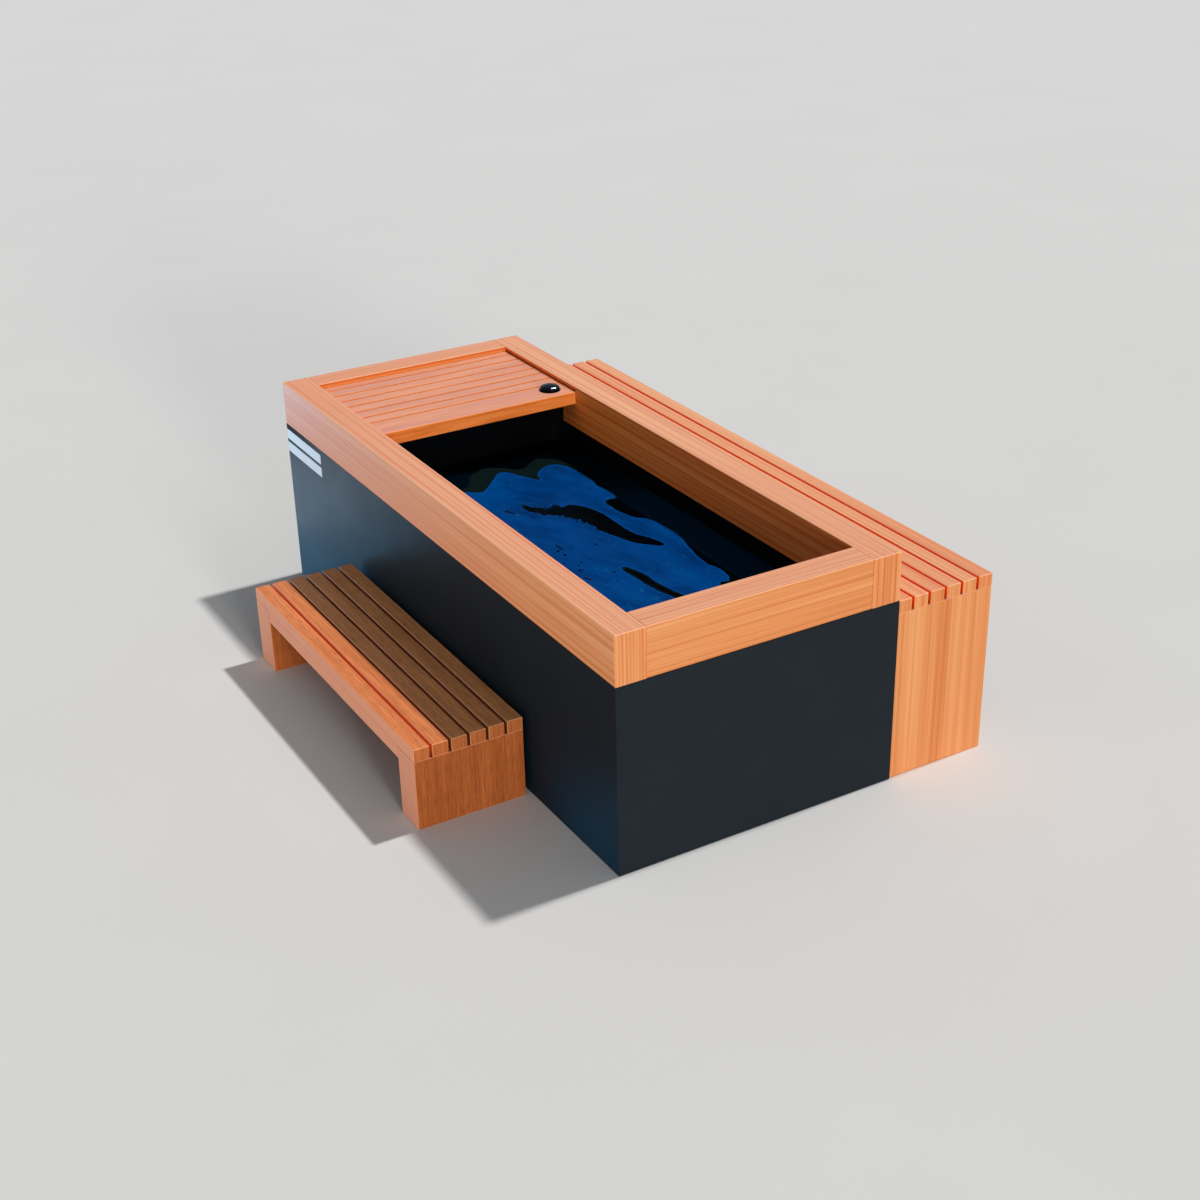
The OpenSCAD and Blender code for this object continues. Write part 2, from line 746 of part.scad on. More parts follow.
module circulation_pump() {
    color(glossy_black) difference() {
        union() {
            along_x(volute_x0, pump_y, pump_z) cylinder(r = volute_r, h = volute_l);
            translate([discharge_x, pump_y, pump_z]) cylinder(r = port_r, h = volute_r + port_l);
        }
        along_x(discharge_x, pump_y, pump_z) cylinder(r = pipe_bore, h = volute_l);
        translate([discharge_x, pump_y, pump_z]) cylinder(r = pipe_bore, h = volute_r + port_l + cut);
    }
    color(plastic_grey) along_x(motor_x0, pump_y, pump_z) {
        cylinder(r = motor_r, h = motor_bell_l);
        cylinder(r = motor_r - fin_h, h = motor_l + cut);
        for (i = [1:fins]) translate([0, 0, motor_bell_l + i * fin_pitch]) cylinder(r = motor_r, h = fin_t);
    }
    color(plastic_grey) {
        translate([motor_x0 + box_x, pump_y, pump_z])
            block([0, -box_w / 2, 0], [box_l, box_w / 2, motor_r + box_h]);
        translate([motor_x0 + foot_x, pump_y, 0]) difference() {
            block([0, -foot_w / 2, base_z], [foot_l, foot_w / 2, pump_z]);
            block([foot_t, -foot_w / 2 - cut, base_z + foot_base_t],
                  [foot_l - foot_t, foot_w / 2 + cut, pump_z - motor_r - foot_top_gap]);
        }
    }
}

module filter_housing() color(plastic_grey) translate([filter_x, filter_y, 0]) difference() {
    union() {
        translate([0, 0, base_z]) cylinder(r = filter_r, h = filter_h);
        translate([0, 0, base_z]) cylinder(r = cap_r, h = port_l);
        translate([0, 0, filter_z1 - collar_h]) cylinder(r = cap_r, h = collar_h);
        along_x(0, 0, run_z) cylinder(r = port_r, h = filter_r + port_l);
        along_y(0, -filter_r - port_l, outlet_z) cylinder(r = port_r, h = filter_r);
    }
    translate([0, 0, base_z + filter_wall]) cylinder(r = filter_r - filter_wall, h = filter_h);
    along_x(0, 0, run_z) cylinder(r = pipe_bore, h = filter_r + port_l + cut);
    along_y(0, -filter_r - port_l - cut, outlet_z) cylinder(r = pipe_bore, h = filter_r);
}

module filter_cap() color(plastic_white) translate([filter_x, filter_y, filter_z1 + seat]) {
    cylinder(r = cap_r - cap_rib_r / 2, h = cap_h);
    for (i = [0:cap_ribs - 1]) rotate(i * 360 / cap_ribs) translate([cap_r - cap_rib_r, 0, 0])
        cylinder(r = cap_rib_r, h = cap_h);
    for (turn = [0, 90]) rotate(turn) translate([0, 0, cap_h]) translate([-cap_r / 2, -cap_grip_w / 2, 0])
        cube([cap_r, cap_grip_w, cap_grip_h]);
    translate([0, 0, -spigot_l]) cylinder(r = filter_r - filter_wall - spigot_play, h = spigot_l + cut);
}

// Outline of the folded paper, a star of pleats between two radii
function pleated(n, inner, outer) = [for (i = [0:2 * n - 1])
    let (r = i % 2 == 0 ? outer : inner, a = i * 180 / n) r * [cos(a), sin(a)]];

module filter_cartridge() color(plastic_white)
    translate([filter_x, filter_y, base_z + filter_wall]) difference() {
        h = filter_h - filter_wall - spigot_l - cartridge_gap;
        union() {
            cylinder(r = cartridge_r, h = end_cap_h);
            translate([0, 0, h - end_cap_h]) cylinder(r = cartridge_r, h = end_cap_h);
            linear_extrude(h) polygon(pleated(pleats, cartridge_r - pleat_d, cartridge_r - cut));
        }
        translate([0, 0, -cut]) cylinder(r = core_r, h = h + 2 * cut);
    }

// A round bar along straight legs between points, with round bends of radius bend_r at the corners
module route(points, r, over = 0) {
    last = len(points) - 1;
    for (i = [0:last - 1]) {
        d = (points[i + 1] - points[i]) / norm(points[i + 1] - points[i]);
        a = points[i] + d * (i == 0 ? -over : bend_r);
        b = points[i + 1] - d * (i == last - 1 ? -over : bend_r);
        side = [d.y, d.z, d.x];
        up = cross(d, side);
        multmatrix([[side.x, up.x, d.x, a.x], [side.y, up.y, d.y, a.y], [side.z, up.z, d.z, a.z]])
            cylinder(r = r, h = norm(b - a));
        if (i < last - 1) {
            e = (points[i + 2] - points[i + 1]) / norm(points[i + 2] - points[i + 1]);
            c = points[i + 1] - d * bend_r + e * bend_r;
            n = cross(d, e);
            multmatrix([[-e.x, d.x, n.x, c.x], [-e.y, d.y, n.y, c.y], [-e.z, d.z, n.z, c.z]])
                rotate_extrude(angle = 90) translate([bend_r, 0]) circle(r);
        }
    }
}

module pipe(points) difference() {
    union() {
        route(points, pipe_r);
        pipe_sockets(points);
    }
    route(points, pipe_bore, cut);
}

// Glued sockets at a pipe's two ends
module pipe_sockets(points) {
    last = len(points) - 1;
    socket(points[0], points[1]);
    socket(points[last], points[last - 1]);
}
module socket(from, to) {
    d = (to - from) / norm(to - from);
    route([from, from + d * socket_l], pipe_r + socket_t);
}

module pipework() color(plastic_white) {
    pipe([[discharge_x, pump_y, pump_z + volute_r + port_l], [discharge_x, pump_y, run_z],
          [discharge_x, filter_y, run_z], [filter_x + filter_r + port_l, filter_y, run_z]]);
    pipe([[filter_x, filter_y - filter_r - port_l, outlet_z], [filter_x, chiller_y1 + port_l, outlet_z]]);
    pipe([[chiller_x1 + port_l, return_y, return_z], [foam_x0 - pump_gap, return_y, return_z]]);
    pipe([[drain_x - sump_r - port_l, drain_y, drain_z], [valve_x1, drain_y, drain_z]]);
}

// Body of a fitting through the far wall: a flange in the basin, a nut behind and a tail to the pipe
module wall_body(y, z, flange_r, flange_t) {
    along_x(basin_x0, y, z) cylinder(r = flange_r, h = flange_t);
    back_x(basin_x0 + cut, y, z) cylinder(r = pipe_r, h = shell_t + far_foam_t + pump_gap + cut);
    back_x(basin_x0 - shell_t, y, z) cylinder(r = wall_nut_r, h = wall_nut_t);
}

module wall_fittings() color(plastic_white) {
    difference() {
        wall_body(pump_y, pump_z, suction_r, suction_t);
        // Chamber behind the grate, then the grate's slots, then the bore to the pump
        along_x(basin_x0 + grate_t, pump_y, pump_z)
            cylinder(r = suction_r * grate_r_share, h = suction_t - 2 * grate_t);
        along_x(basin_x0 + suction_t - grate_t - cut, pump_y, pump_z) linear_extrude(grate_t + 2 * cut)
            for (i = [0:suction_slots - 1]) rotate(i * 360 / suction_slots)
                translate([suction_r * suction_slot_x_share, 0])
                    slot(suction_r * suction_slot_share, suction_slot_w);
        back_x(basin_x0 + grate_t + cut, pump_y, pump_z) cylinder(r = pipe_bore, h = service_l / 2);
    }
    difference() {
        union() {
            wall_body(return_y, return_z, jet_r, jet_t);
            along_x(basin_x0 + jet_t / 2, return_y, return_z) sphere(eyeball_r);
        }
        back_x(basin_x0 - shell_t, return_y, return_z) cylinder(r = pipe_bore, h = service_l / 2);
        back_x(basin_x0 + 2 * eyeball_r, return_y, return_z) cylinder(r = eyeball_bore, h = 3 * eyeball_r);
    }
}

module drain_fitting() color(plastic_white) difference() {
    union() {
        translate([drain_x, drain_y, base_z + sump_bed])
            cylinder(r = sump_r, h = basin_z - base_z - sump_bed + cut);
        translate([drain_x, drain_y, basin_z]) cylinder(r = drain_flange_r, h = drain_flange_t);
        back_x(drain_x, drain_y, drain_z) cylinder(r = pipe_r + cut, h = sump_r + port_l);
    }
    translate([drain_x, drain_y, base_z + sump_bed + sump_wall])
        cylinder(r = sump_r - sump_wall, h = basin_z - base_z - 2 * sump_wall);
    back_x(drain_x, drain_y, drain_z) cylinder(r = pipe_bore, h = sump_r + port_l + cut);
    translate([drain_x, drain_y, basin_z - sump_wall - cut]) linear_extrude(drain_flange_r)
        for (i = [0:drain_slots - 1]) rotate(i * 360 / drain_slots)
            translate([sump_r / 2, 0]) slot(sump_r / 2, drain_slot_w);
}

module drain_valve() {
    color(steel) difference() {
        union() {
            along_x(valve_x0, drain_y, drain_z) cylinder(r = valve_r, h = valve_l);
            for (x = [valve_x0, valve_x1 - union_w])
                along_x(x, drain_y, drain_z) cylinder(r = union_r, h = union_w, $fn = 8);
            translate([valve_x, drain_y, drain_z]) cylinder(r = handle_stem_r, h = stem_top);
            translate([valve_x, drain_y, drain_z]) cylinder(r = handle_hub_r, h = bonnet_h);
            back_x(valve_x0 + cut, drain_y, drain_z) cylinder(r = pipe_r, h = valve_in + panel_t + 2 * cut);
            back_x(-tub_l / 2, drain_y, drain_z) cylinder(r = escutcheon_r, h = escutcheon_t);
            back_x(-tub_l / 2, drain_y, drain_z) cylinder(r = spout_r, h = escutcheon_t + spout_l);
        }
        back_x(valve_x1 + cut, drain_y, drain_z) cylinder(r = spout_r - pipe_t, h = service_l / 2);
    }
}

module drain_handle() color(handle_red)
    translate([valve_x, drain_y, drain_z + stem_top - union_w]) difference() {
        union() {
            cylinder(r = handle_hub_r, h = union_w);
            translate([0, 0, union_w - handle_t]) linear_extrude(handle_t) {
                translate([-handle_w / 2, 0]) square([handle_w, handle_l - handle_w / 2]);
                translate([0, handle_l - handle_w / 2]) circle(handle_w / 2);
            }
        }
        translate([0, 0, -cut]) cylinder(r = handle_stem_r + fit, h = union_w + 2 * cut);
    }

module power_gland() color(glossy_black) difference() {
    union() {
        back_x(-in_x + gland_hex_t, gland_y, gland_z)
            cylinder(r = gland_r, h = panel_t + gland_hex_t + cut);
        back_x(-tub_l / 2, gland_y, gland_z) cylinder(r = gland_hex_r, h = gland_hex_t, $fn = 6);
        back_x(-in_x + gland_hex_t, gland_y, gland_z) cylinder(r = gland_hex_r, h = gland_hex_t, $fn = 6);
        back_x(-tub_l / 2 - gland_hex_t, gland_y, gland_z)
            cylinder(r1 = gland_dome_r1, r2 = gland_dome_r2, h = gland_dome_l);
    }
    back_x(-in_x + 2 * gland_hex_t, gland_y, gland_z)
        cylinder(r = gland_bore, h = panel_t + 4 * gland_dome_l);
}

base_runners();
base_board();
frame_posts();
long_panel(-1);  // panel_front
long_panel(1);  // panel_back
panel_near();
panel_far();
insulation();
shell();
divider();
long_rail(-1);  // rim_front
long_rail(1);  // rim_back
end_rail(1);  // rim_near
end_rail(-1);  // rim_far
rim_dowels();
lid_cleats();
lid_nosing();
lid_board(1);  // lid_board_1
lid_board(2);  // lid_board_2
lid_board(3);  // lid_board_3
lid_board(4);  // lid_board_4
lid_board(5);  // lid_board_5
lid_board(6);  // lid_board_6
lid_board(7);  // lid_board_7
lid_battens();
button_housing();
button_nut();
button_dome();
bench_slat(1);  // bench_slat_1
bench_slat(2);  // bench_slat_2
bench_slat(3);  // bench_slat_3
bench_slat(4);  // bench_slat_4
bench_slat(5);  // bench_slat_5
bench_slat(6);  // bench_slat_6
bench_leg(bench_x1 - leg_t / 2);  // bench_leg_near
bench_leg(bench_mid);  // bench_leg_mid
bench_leg(bench_x0 + leg_t / 2);  // bench_leg_far
bench_rails();
step_slat(1);  // step_slat_1
step_slat(2);  // step_slat_2
step_slat(3);  // step_slat_3
step_slat(4);  // step_slat_4
step_slat(5);  // step_slat_5
step_slat(6);  // step_slat_6
step_leg(step_x1 - leg_t / 2);  // step_leg_near
step_leg(step_x0 + leg_t / 2);  // step_leg_far
step_rails();
chiller_casing();
chiller_fan();
chiller_grille();
circulation_pump();
filter_housing();
filter_cap();
filter_cartridge();
pipework();
wall_fittings();
drain_fitting();
drain_valve();
drain_handle();
power_gland();
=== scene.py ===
import math

import bpy
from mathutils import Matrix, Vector


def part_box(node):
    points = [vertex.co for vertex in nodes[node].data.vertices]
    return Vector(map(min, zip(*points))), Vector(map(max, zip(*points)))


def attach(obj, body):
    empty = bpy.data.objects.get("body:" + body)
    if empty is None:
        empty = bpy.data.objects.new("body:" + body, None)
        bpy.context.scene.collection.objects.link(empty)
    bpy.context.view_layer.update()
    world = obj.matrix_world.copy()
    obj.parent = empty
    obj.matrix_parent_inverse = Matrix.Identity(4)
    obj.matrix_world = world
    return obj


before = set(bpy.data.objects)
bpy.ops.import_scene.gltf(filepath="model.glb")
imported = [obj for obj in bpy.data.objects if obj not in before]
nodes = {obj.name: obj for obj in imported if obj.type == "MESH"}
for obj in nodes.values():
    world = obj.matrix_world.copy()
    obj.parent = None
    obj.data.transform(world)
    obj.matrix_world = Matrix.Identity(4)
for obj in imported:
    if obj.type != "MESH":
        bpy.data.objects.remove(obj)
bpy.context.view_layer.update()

# Measures taken from the frame, in metres
rail_low, rail_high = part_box("rim_front")
rim_top = rail_high.z
panel_low, panel_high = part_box("panel_front")
step_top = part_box("step_slat_1")[1].z
lid_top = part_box("lid_board_1")[1].z
lid_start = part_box("lid_board_7")[0].x
lid_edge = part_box("lid_board_6")[0].x
lid_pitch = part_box("lid_board_5")[0].x - lid_edge
nosing_low, nosing_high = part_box("lid_nosing")

# The basin's well in plan, inside the foam and the shell's wall, and the radius of its corners
wall_t = 0.061
basin_x0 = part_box("divider")[1].x
basin_x1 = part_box("panel_near")[0].x - wall_t
basin_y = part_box("shell")[1].y - wall_t
basin_r = 0.050
# The level of the water, below the panels' top
water_drop = 0.051
water_z = panel_high.z - water_drop

# How far a normal follows an axis on a face that looks that way, on a board's side and on an upper edge
square_on = 0.9
on_side = 0.7
upward = 0.3
# How far the nearest axis is from the normal where a chamfer starts and where it is full
chamfer_range = 0.12, 0.22
# Play round a joint or an edge, in metres, so that a mask doesn't end right on it
hair = 0.001
play = 0.002


class Wire:
    """A node's output. Sums and products of wires and numbers add their own Math nodes."""

    def __init__(self, finish, socket):
        self.finish = finish
        self.socket = socket

    def maths(self, operation, *values):
        return self.finish.node("ShaderNodeMath", {"operation": operation}, dict(enumerate(values)))

    def __add__(self, other):
        return self.maths("ADD", self, other)

    def __radd__(self, other):
        return self.maths("ADD", other, self)

    def __sub__(self, other):
        return self.maths("SUBTRACT", self, other)

    def __rsub__(self, other):
        return self.maths("SUBTRACT", other, self)

    def __mul__(self, other):
        return self.maths("MULTIPLY", self, other)

    def __rmul__(self, other):
        return self.maths("MULTIPLY", other, self)

    def __truediv__(self, other):
        return self.maths("DIVIDE", self, other)

    def __gt__(self, other):
        return self.maths("GREATER_THAN", self, other)

    def __lt__(self, other):
        return self.maths("LESS_THAN", self, other)

    def __abs__(self):
        return self.maths("ABSOLUTE", self)

    def most(self, other):
        return self.maths("MAXIMUM", self, other)

    def rise(self, low, high):
        """0 below low, 1 above high, smooth between."""
        return self.finish.node("ShaderNodeMapRange", {"interpolation_type": "SMOOTHSTEP"},
                                {"Value": self, "From Min": low, "From Max": high})


class Finish:
    """One material: its shader, and the method that adds its nodes."""

    def __init__(self, name, **plain):
        self.material = bpy.data.materials.new(name)
        self.material.use_nodes = True
        self.tree = self.material.node_tree
        self.shader = self.tree.nodes["Principled BSDF"]
        for socket, value in plain.items():
            self.set(socket.title(), value)

    def node(self, kind, settings=None, inputs=None, output=0):
        made = self.tree.nodes.new(kind)
        for key, value in (settings or {}).items():
            if key == "stops":
                ramp_stops(made.color_ramp, value)
            else:
                setattr(made, key, value)
        for key, value in (inputs or {}).items():
            self.feed(made.inputs[key], value)
        return Wire(self, made.outputs[output])

    def feed(self, socket, value):
        if isinstance(value, Wire):
            self.tree.links.new(value.socket, socket)
        else:
            socket.default_value = value

    def set(self, socket, value):
        full_names = {"Specular": "Specular IOR Level"}
        self.feed(self.shader.inputs[full_names.get(socket, socket)], value)

    def place(self):
        """The object's own coordinates, in metres."""
        return self.axes(self.node("ShaderNodeTexCoord", output="Object"))

    def facing(self):
        """The surface's own normal, before any bump."""
        return self.axes(self.node("ShaderNodeTexCoord", output="Normal"))

    def axes(self, vector):
        split = self.node("ShaderNodeSeparateXYZ", inputs={0: vector}).socket.node
        return [Wire(self, out) for out in split.outputs]

    def vector(self, x, y, z):
        return self.node("ShaderNodeCombineXYZ", inputs={0: x, 1: y, 2: z})

    def noise(self, vector, scale=1.0, detail=2.0, roughness=0.5, distortion=0.0):
        return self.node("ShaderNodeTexNoise", inputs={"Vector": vector, "Scale": scale, "Detail": detail,
                                                       "Roughness": roughness, "Distortion": distortion})

    def ramp(self, factor, stops):
        return self.node("ShaderNodeValToRGB", {"stops": stops}, {0: factor})

    def mix(self, factor, first, second):
        """Two colours mixed, each a wire or three numbers."""
        first, second = [value if isinstance(value, Wire) else rgb(value) for value in (first, second)]
        return self.node("ShaderNodeMix", {"data_type": "RGBA"}, {0: factor, 6: first, 7: second}, output=2)

    def gloss(self, low, spread, pattern):
        """Roughness that follows a pattern."""
        self.set("Roughness", low + pattern * spread)

    def bump(self, height, distance, strength):
        self.set("Normal", self.node("ShaderNodeBump", inputs={"Strength": strength, "Distance": distance,
                                                               "Height": height}))


def ramp_stops(ramp, stops):
    while len(ramp.elements) > 1:
        ramp.elements.remove(ramp.elements[-1])
    for k, (at, colour) in enumerate(stops):
        element = ramp.elements[0] if k == 0 else ramp.elements.new(at)
        element.position = at
        element.color = rgb(colour)


def rgb(colour):
    return (*colour, 1.0)


def times(colour, factor):
    """A colour made darker or paler, at most white in each part."""
    return tuple(min(1, part * factor) for part in colour)


def between(value, low, high):
    return (value > low) * (1 - (value > high))


def blend(first, second, share):
    """Two patterns in one, the second by its share."""
    return first * (1 - share) + second * share


def grain(finish, along):
    """Coordinates on a board: along its grain, across the face, and a number that sets its sides apart."""
    x, y, z = finish.place()
    face_x, face_y, _ = [abs(part) for part in finish.facing()]
    length, across, other, side = {
        "x": (x - z, y, z, face_y),
        "y": (y - z, x, z, face_x),
        "z": (z, y, x, face_y),
    }[along]
    side = side > on_side
    apart = 5.3
    return length, across + side * (other - across), side * apart


def fibres(finish, board, along, across, layer=0, detail=2, roughness=0.5, distortion=0.0):
    """Noise drawn out along a board's grain: how fast it changes along and across it, per metre."""
    length, width, face = board
    spot = finish.vector(length * along, width * across, face + layer)
    return finish.noise(spot, detail=detail, roughness=roughness, distortion=distortion)


def row(first, last, axis):
    """Boards side by side: where the row starts and ends along an axis, and its pitch."""
    first_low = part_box(first + "_1")[0]
    next_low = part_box(first + "_2")[0]
    return first_low[axis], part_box(last)[1][axis], next_low[axis] - first_low[axis]


def board_shift(finish, y, slats):
    """A tone of its own for each board of a row, from -0.5 to 0.5."""
    row_start, _, pitch = slats
    count = finish.node("ShaderNodeMath", {"operation": "FLOOR"}, {0: (y - row_start + play) / pitch})
    return finish.node("ShaderNodeTexWhiteNoise", {"noise_dimensions": "1D"}, {"W": count}) - 0.5


def painted_edge_highlight(finish, colour, top, low, amount):
    """Paints highlights on the small chamfers of a board: one tone along its upper edges, another along the
    rest.
    """
    nx, ny, nz = finish.facing()
    slanted = 1 - abs(nx).most(abs(ny)).most(abs(nz))
    chamfer = slanted.rise(*chamfer_range)
    return finish.mix(chamfer * amount, colour, finish.mix(nz > upward, low, top))


# Tones of the rails' narrow strips above the lid, by height from the lid up to the rim's top: painted light
# and shade
# The far rail's strip is a painted glow from the lid; the side rails' strips are a painted dark joint under
# painted red light
far_strip_painted_glow = [(0.0, (0.86, 0.320, 0.105)), (0.45, (0.78, 0.215, 0.045)), (1.0, (0.56, 0.095, 0.010))]
side_strip_painted_light_and_shade = [(0.0, (0.10, 0.020, 0.004)), (0.22, (0.16, 0.028, 0.005)), (0.40, (0.95, 0.140, 0.012)),
              (1.0, (1.0, 0.130, 0.012))]


def painted_light_beside_lid(wood, colour, inside):
    """The strips of the rails above the lid: painted orange bounce light, and painted shade darker towards
    the joint at the sides.
    """
    x, _, z = wood.place()
    height = (z - lid_top) / (rim_top - lid_top)
    just_below_lid = -0.1
    painted_strip_depth = 0.92
    strip = inside * (nosing_high.x > x) * (height > just_below_lid)
    tones = wood.mix(x > lid_start - hair, wood.ramp(height, far_strip_painted_glow), wood.ramp(height, side_strip_painted_light_and_shade))
    return wood.mix(strip * painted_strip_depth, colour, tones)


# Tones of cedar: its ramp, then the finer marks, the painted sheen that pales it and the painted glow that
# deepens it
cedar_tones = [(0.39, (0.67, 0.200, 0.056)), (0.46, (0.77, 0.276, 0.090)), (0.53, (0.83, 0.330, 0.120)),
               (0.61, (0.90, 0.415, 0.175))]
cedar_vein = (0.72, 0.205, 0.060)
cedar_painted_top_sheen = (0.86, 0.45, 0.34)
cedar_painted_front_sheen = (0.76, 0.350, 0.250)
cedar_dark_line = (0.73, 0.165, 0.050)
cedar_pale_line = (0.95, 0.50, 0.27)
cedar_inside_painted_glow = (0.80, 0.175, 0.020), (1.0, 0.34, 0.060)
cedar_gap_painted_glow = (1.0, 0.105, 0.003)
# How deep the marks go: the painted glow inside the tub and in the gaps, and the crisp lines by the way that
# a face looks
inside_glow_depth = 0.9
gap_glow_depth = 0.95
lines_anywhere, lines_on_top, lines_in_front = 0.12, 0.46, 0.22
sawn_dark, sawn_pale = 0.75, 0.15
# How much each pattern counts in the tone
broad_share, bands_share, lines_share = 0.36, 0.40, 0.24
# Where a pattern passes from one tone into the next
vein_range = 0.56, 0.62
line_range = 0.52, 0.60
band_range = 0.42, 0.58
# A painted pinkish sheen on the outer front, fuller towards the tub's far end, between these places in X
front_sheen_depth = 0.62
front_sheen_range = -0.6, 0.8
# A face looks into the tub where its normal times its place, in metres, is below this
inwards = -0.25


def cedar(name, along, slats=None):
    """Straight-grained cedar: soft bands, crisp lines on top and on sawn ends, painted sheen, and a painted
    orange glow inside the tub.
    """
    upright = along == "z"
    wood = Finish(name, specular=0.15)
    length, across, face = grain(wood, along)
    waver = fibres(wood, (length, across, face), along=1.3, across=9)
    waver_reach = 0.004
    board = length, across + waver * waver_reach, face
    broad = fibres(wood, board, along=0.35, across=11)
    band_count = 60 if upright else 90
    bands = fibres(wood, board, along=0.5, across=band_count, layer=9, detail=3, roughness=0.65)
    lines = fibres(wood, board, along=0.8, across=300, layer=4, roughness=0.6)
    crisp = fibres(wood, board, along=0.5, across=175, layer=31, detail=3, roughness=0.72)
    vein = fibres(wood, board, along=1.1, across=34, layer=17, distortion=0.3)
    tone = broad * broad_share + bands * bands_share + lines * lines_share
    x, y, _ = wood.place()
    nx, ny, nz = wood.facing()
    if slats:
        spread = 0.035
        tone = tone + board_shift(wood, y, slats) * spread
    vein_depth = 0.2 if upright else 0.45
    colour = wood.mix(vein.rise(*vein_range) * vein_depth, wood.ramp(tone, cedar_tones), cedar_vein)
    top = nz > square_on
    to_front = -square_on > ny
    # Painted sheen: faces that look up are mixed towards a pale pink
    top_sheen_depth = 0.25 if slats else 0.45
    colour = wood.mix(top * top_sheen_depth, colour, cedar_painted_top_sheen)
    # Painted sheen: the outer front faces pale towards the far end
    outer_front = to_front * (rail_low.y + play > y)
    colour = wood.mix(outer_front * (1 - x.rise(*front_sheen_range)) * front_sheen_depth, colour, cedar_painted_front_sheen)
    depth = top * lines_on_top + to_front * lines_in_front + lines_anywhere
    sawn = (abs(nx) > square_on) * (along == "x")
    colour = wood.mix((depth + sawn * sawn_dark) * (1 - crisp).rise(*line_range), colour, cedar_dark_line)
    colour = wood.mix((depth + sawn * sawn_pale) * crisp.rise(*line_range), colour, cedar_pale_line)
    # Painted bounce light: faces that look into the tub take a deep, saturated orange
    inside = (inwards > x * nx + y * ny) * (basin_y + hair > abs(y))
    colour = wood.mix(inside * inside_glow_depth, colour, wood.mix(bands.rise(*band_range), *cedar_inside_painted_glow))
    colour = painted_light_beside_lid(wood, colour, inside)
    if slats:
        row_start, row_end, _ = slats
        # Painted bounce light: the slats' sides in the gaps take a deep red glow
        gap = (abs(ny) > square_on) * between(y, row_start + play, row_end - play)
        colour = wood.mix(gap * gap_glow_depth, colour, cedar_gap_painted_glow)
    wood.set("Base Color", painted_edge_highlight(wood, colour, top=(0.96, 0.56, 0.34), low=(1.0, 0.40, 0.13), amount=0.55))
    wood.gloss(low=0.38, spread=0.16, pattern=bands)
    wood.bump(blend(bands, lines, share=0.5), distance=0.0002, strength=0.4)
    return wood.material


# The step's front edge, paled by painted light: its tones and how far they cover
teak_front_painted_light = (0.71, 0.285, 0.165), (0.86, 0.38, 0.235)
front_light_depth = 0.85
# The gaps between the step's slats, painted light and shade: how far down the painted tone reaches, and how
# far it covers
step_gap_z = 0.034
step_gap_depth = 0.8
# The pores and the sawn ends
pore_range = 0.53, 0.63
pore_shade = 0.34
end_range = 0.35, 0.65
end_depth = 0.9


def teak(name, along, slats, light, dark, fleck_depth, ends=None, gap_painted_tone=(0.60, 0.07, 0.008)):
    """Oiled hardwood: short dark pores over a cloudy brown, paler with painted light on the faces that look
    to the front.
    """
    wood = Finish(name, specular=0.15)
    board = grain(wood, along)
    cloud = fibres(wood, board, along=3, across=45, detail=3, roughness=0.6)
    streak = fibres(wood, board, along=5, across=210, layer=3, detail=3, roughness=0.7)
    pores = fibres(wood, board, along=24, across=760, layer=7)
    row_start, row_end, _ = slats
    _, y, z = wood.place()
    nx, ny, _ = wood.facing()
    spread = 0.05
    tone = blend(cloud, streak, share=0.6) + board_shift(wood, y, slats) * spread
    middle = tuple((a + b) / 2 for a, b in zip(dark, light))
    pale = times(light, 1.2)
    colour = wood.ramp(tone, [(0.36, dark), (0.46, middle), (0.55, light), (0.66, pale)])
    fleck = pores.rise(*pore_range)
    colour = wood.mix(fleck * fleck_depth, colour, times(dark, pore_shade))
    if ends:
        sawn = abs(nx) > square_on
        colour = wood.mix(sawn * end_depth, colour, wood.mix(streak.rise(*end_range), *ends))
    # Painted light: the outer front faces are mixed towards a paler tone
    front_edge = (-square_on > ny) * (row_start + play + hair > y)
    colour = wood.mix(front_edge * front_light_depth, colour, wood.mix(streak, *teak_front_painted_light))
    # Painted light and shade in the gaps: a red glow between the lit slats, a dark tone between the shaded
    # ones
    gap = (abs(ny) > square_on) * between(y, row_start + play + hair, row_end - play)
    colour = wood.mix(gap * (z > step_top - step_gap_z) * step_gap_depth, colour, gap_painted_tone)
    wood.set("Base Color", painted_edge_highlight(wood, colour, top=(0.90, 0.40, 0.22), low=(0.85, 0.28, 0.09), amount=0.45))
    wood.gloss(low=0.44, spread=0.16, pattern=streak)
    raised, sunk = 0.6, 0.5
    wood.bump(streak * raised - fleck * sunk, distance=0.0003, strength=0.5)
    return wood.material


# Tones of the lid: its top, its clouds, its front in painted light, its painted rim and the painted light in
# the joints between its boards
lid_tones = [(0.36, (0.72, 0.265, 0.155)), (0.48, (0.80, 0.330, 0.200)), (0.62, (0.88, 0.40, 0.255))]
lid_cloud = (0.69, 0.295, 0.230)
lid_lit_face_tones = [(0.38, (0.74, 0.160, 0.022)), (0.50, (0.92, 0.240, 0.042)), (0.60, (1.0, 0.300, 0.062))]
lid_painted_glow_rim = (0.92, 0.345, 0.095)
lid_joint_painted_light = (0.90, 0.225, 0.020)
lid_groove_painted_shade = (0.68, 0.140, 0.001), (0.92, 0.255, 0.002)
# How far the lid's clouds, rim, joints and grooves cover, and where a cloud starts and is full
cloud_depth = 0.6
glow_rim_depth = 0.85
joint_light_depth = 0.85
groove_depth = 0.95
patch_range = 0.45, 0.62
# Half the gap between the lid's boards, and how far the painted orange strip reaches to either side of its
# middle
lid_half_gap = 0.0019
joint_reach = 0.0040
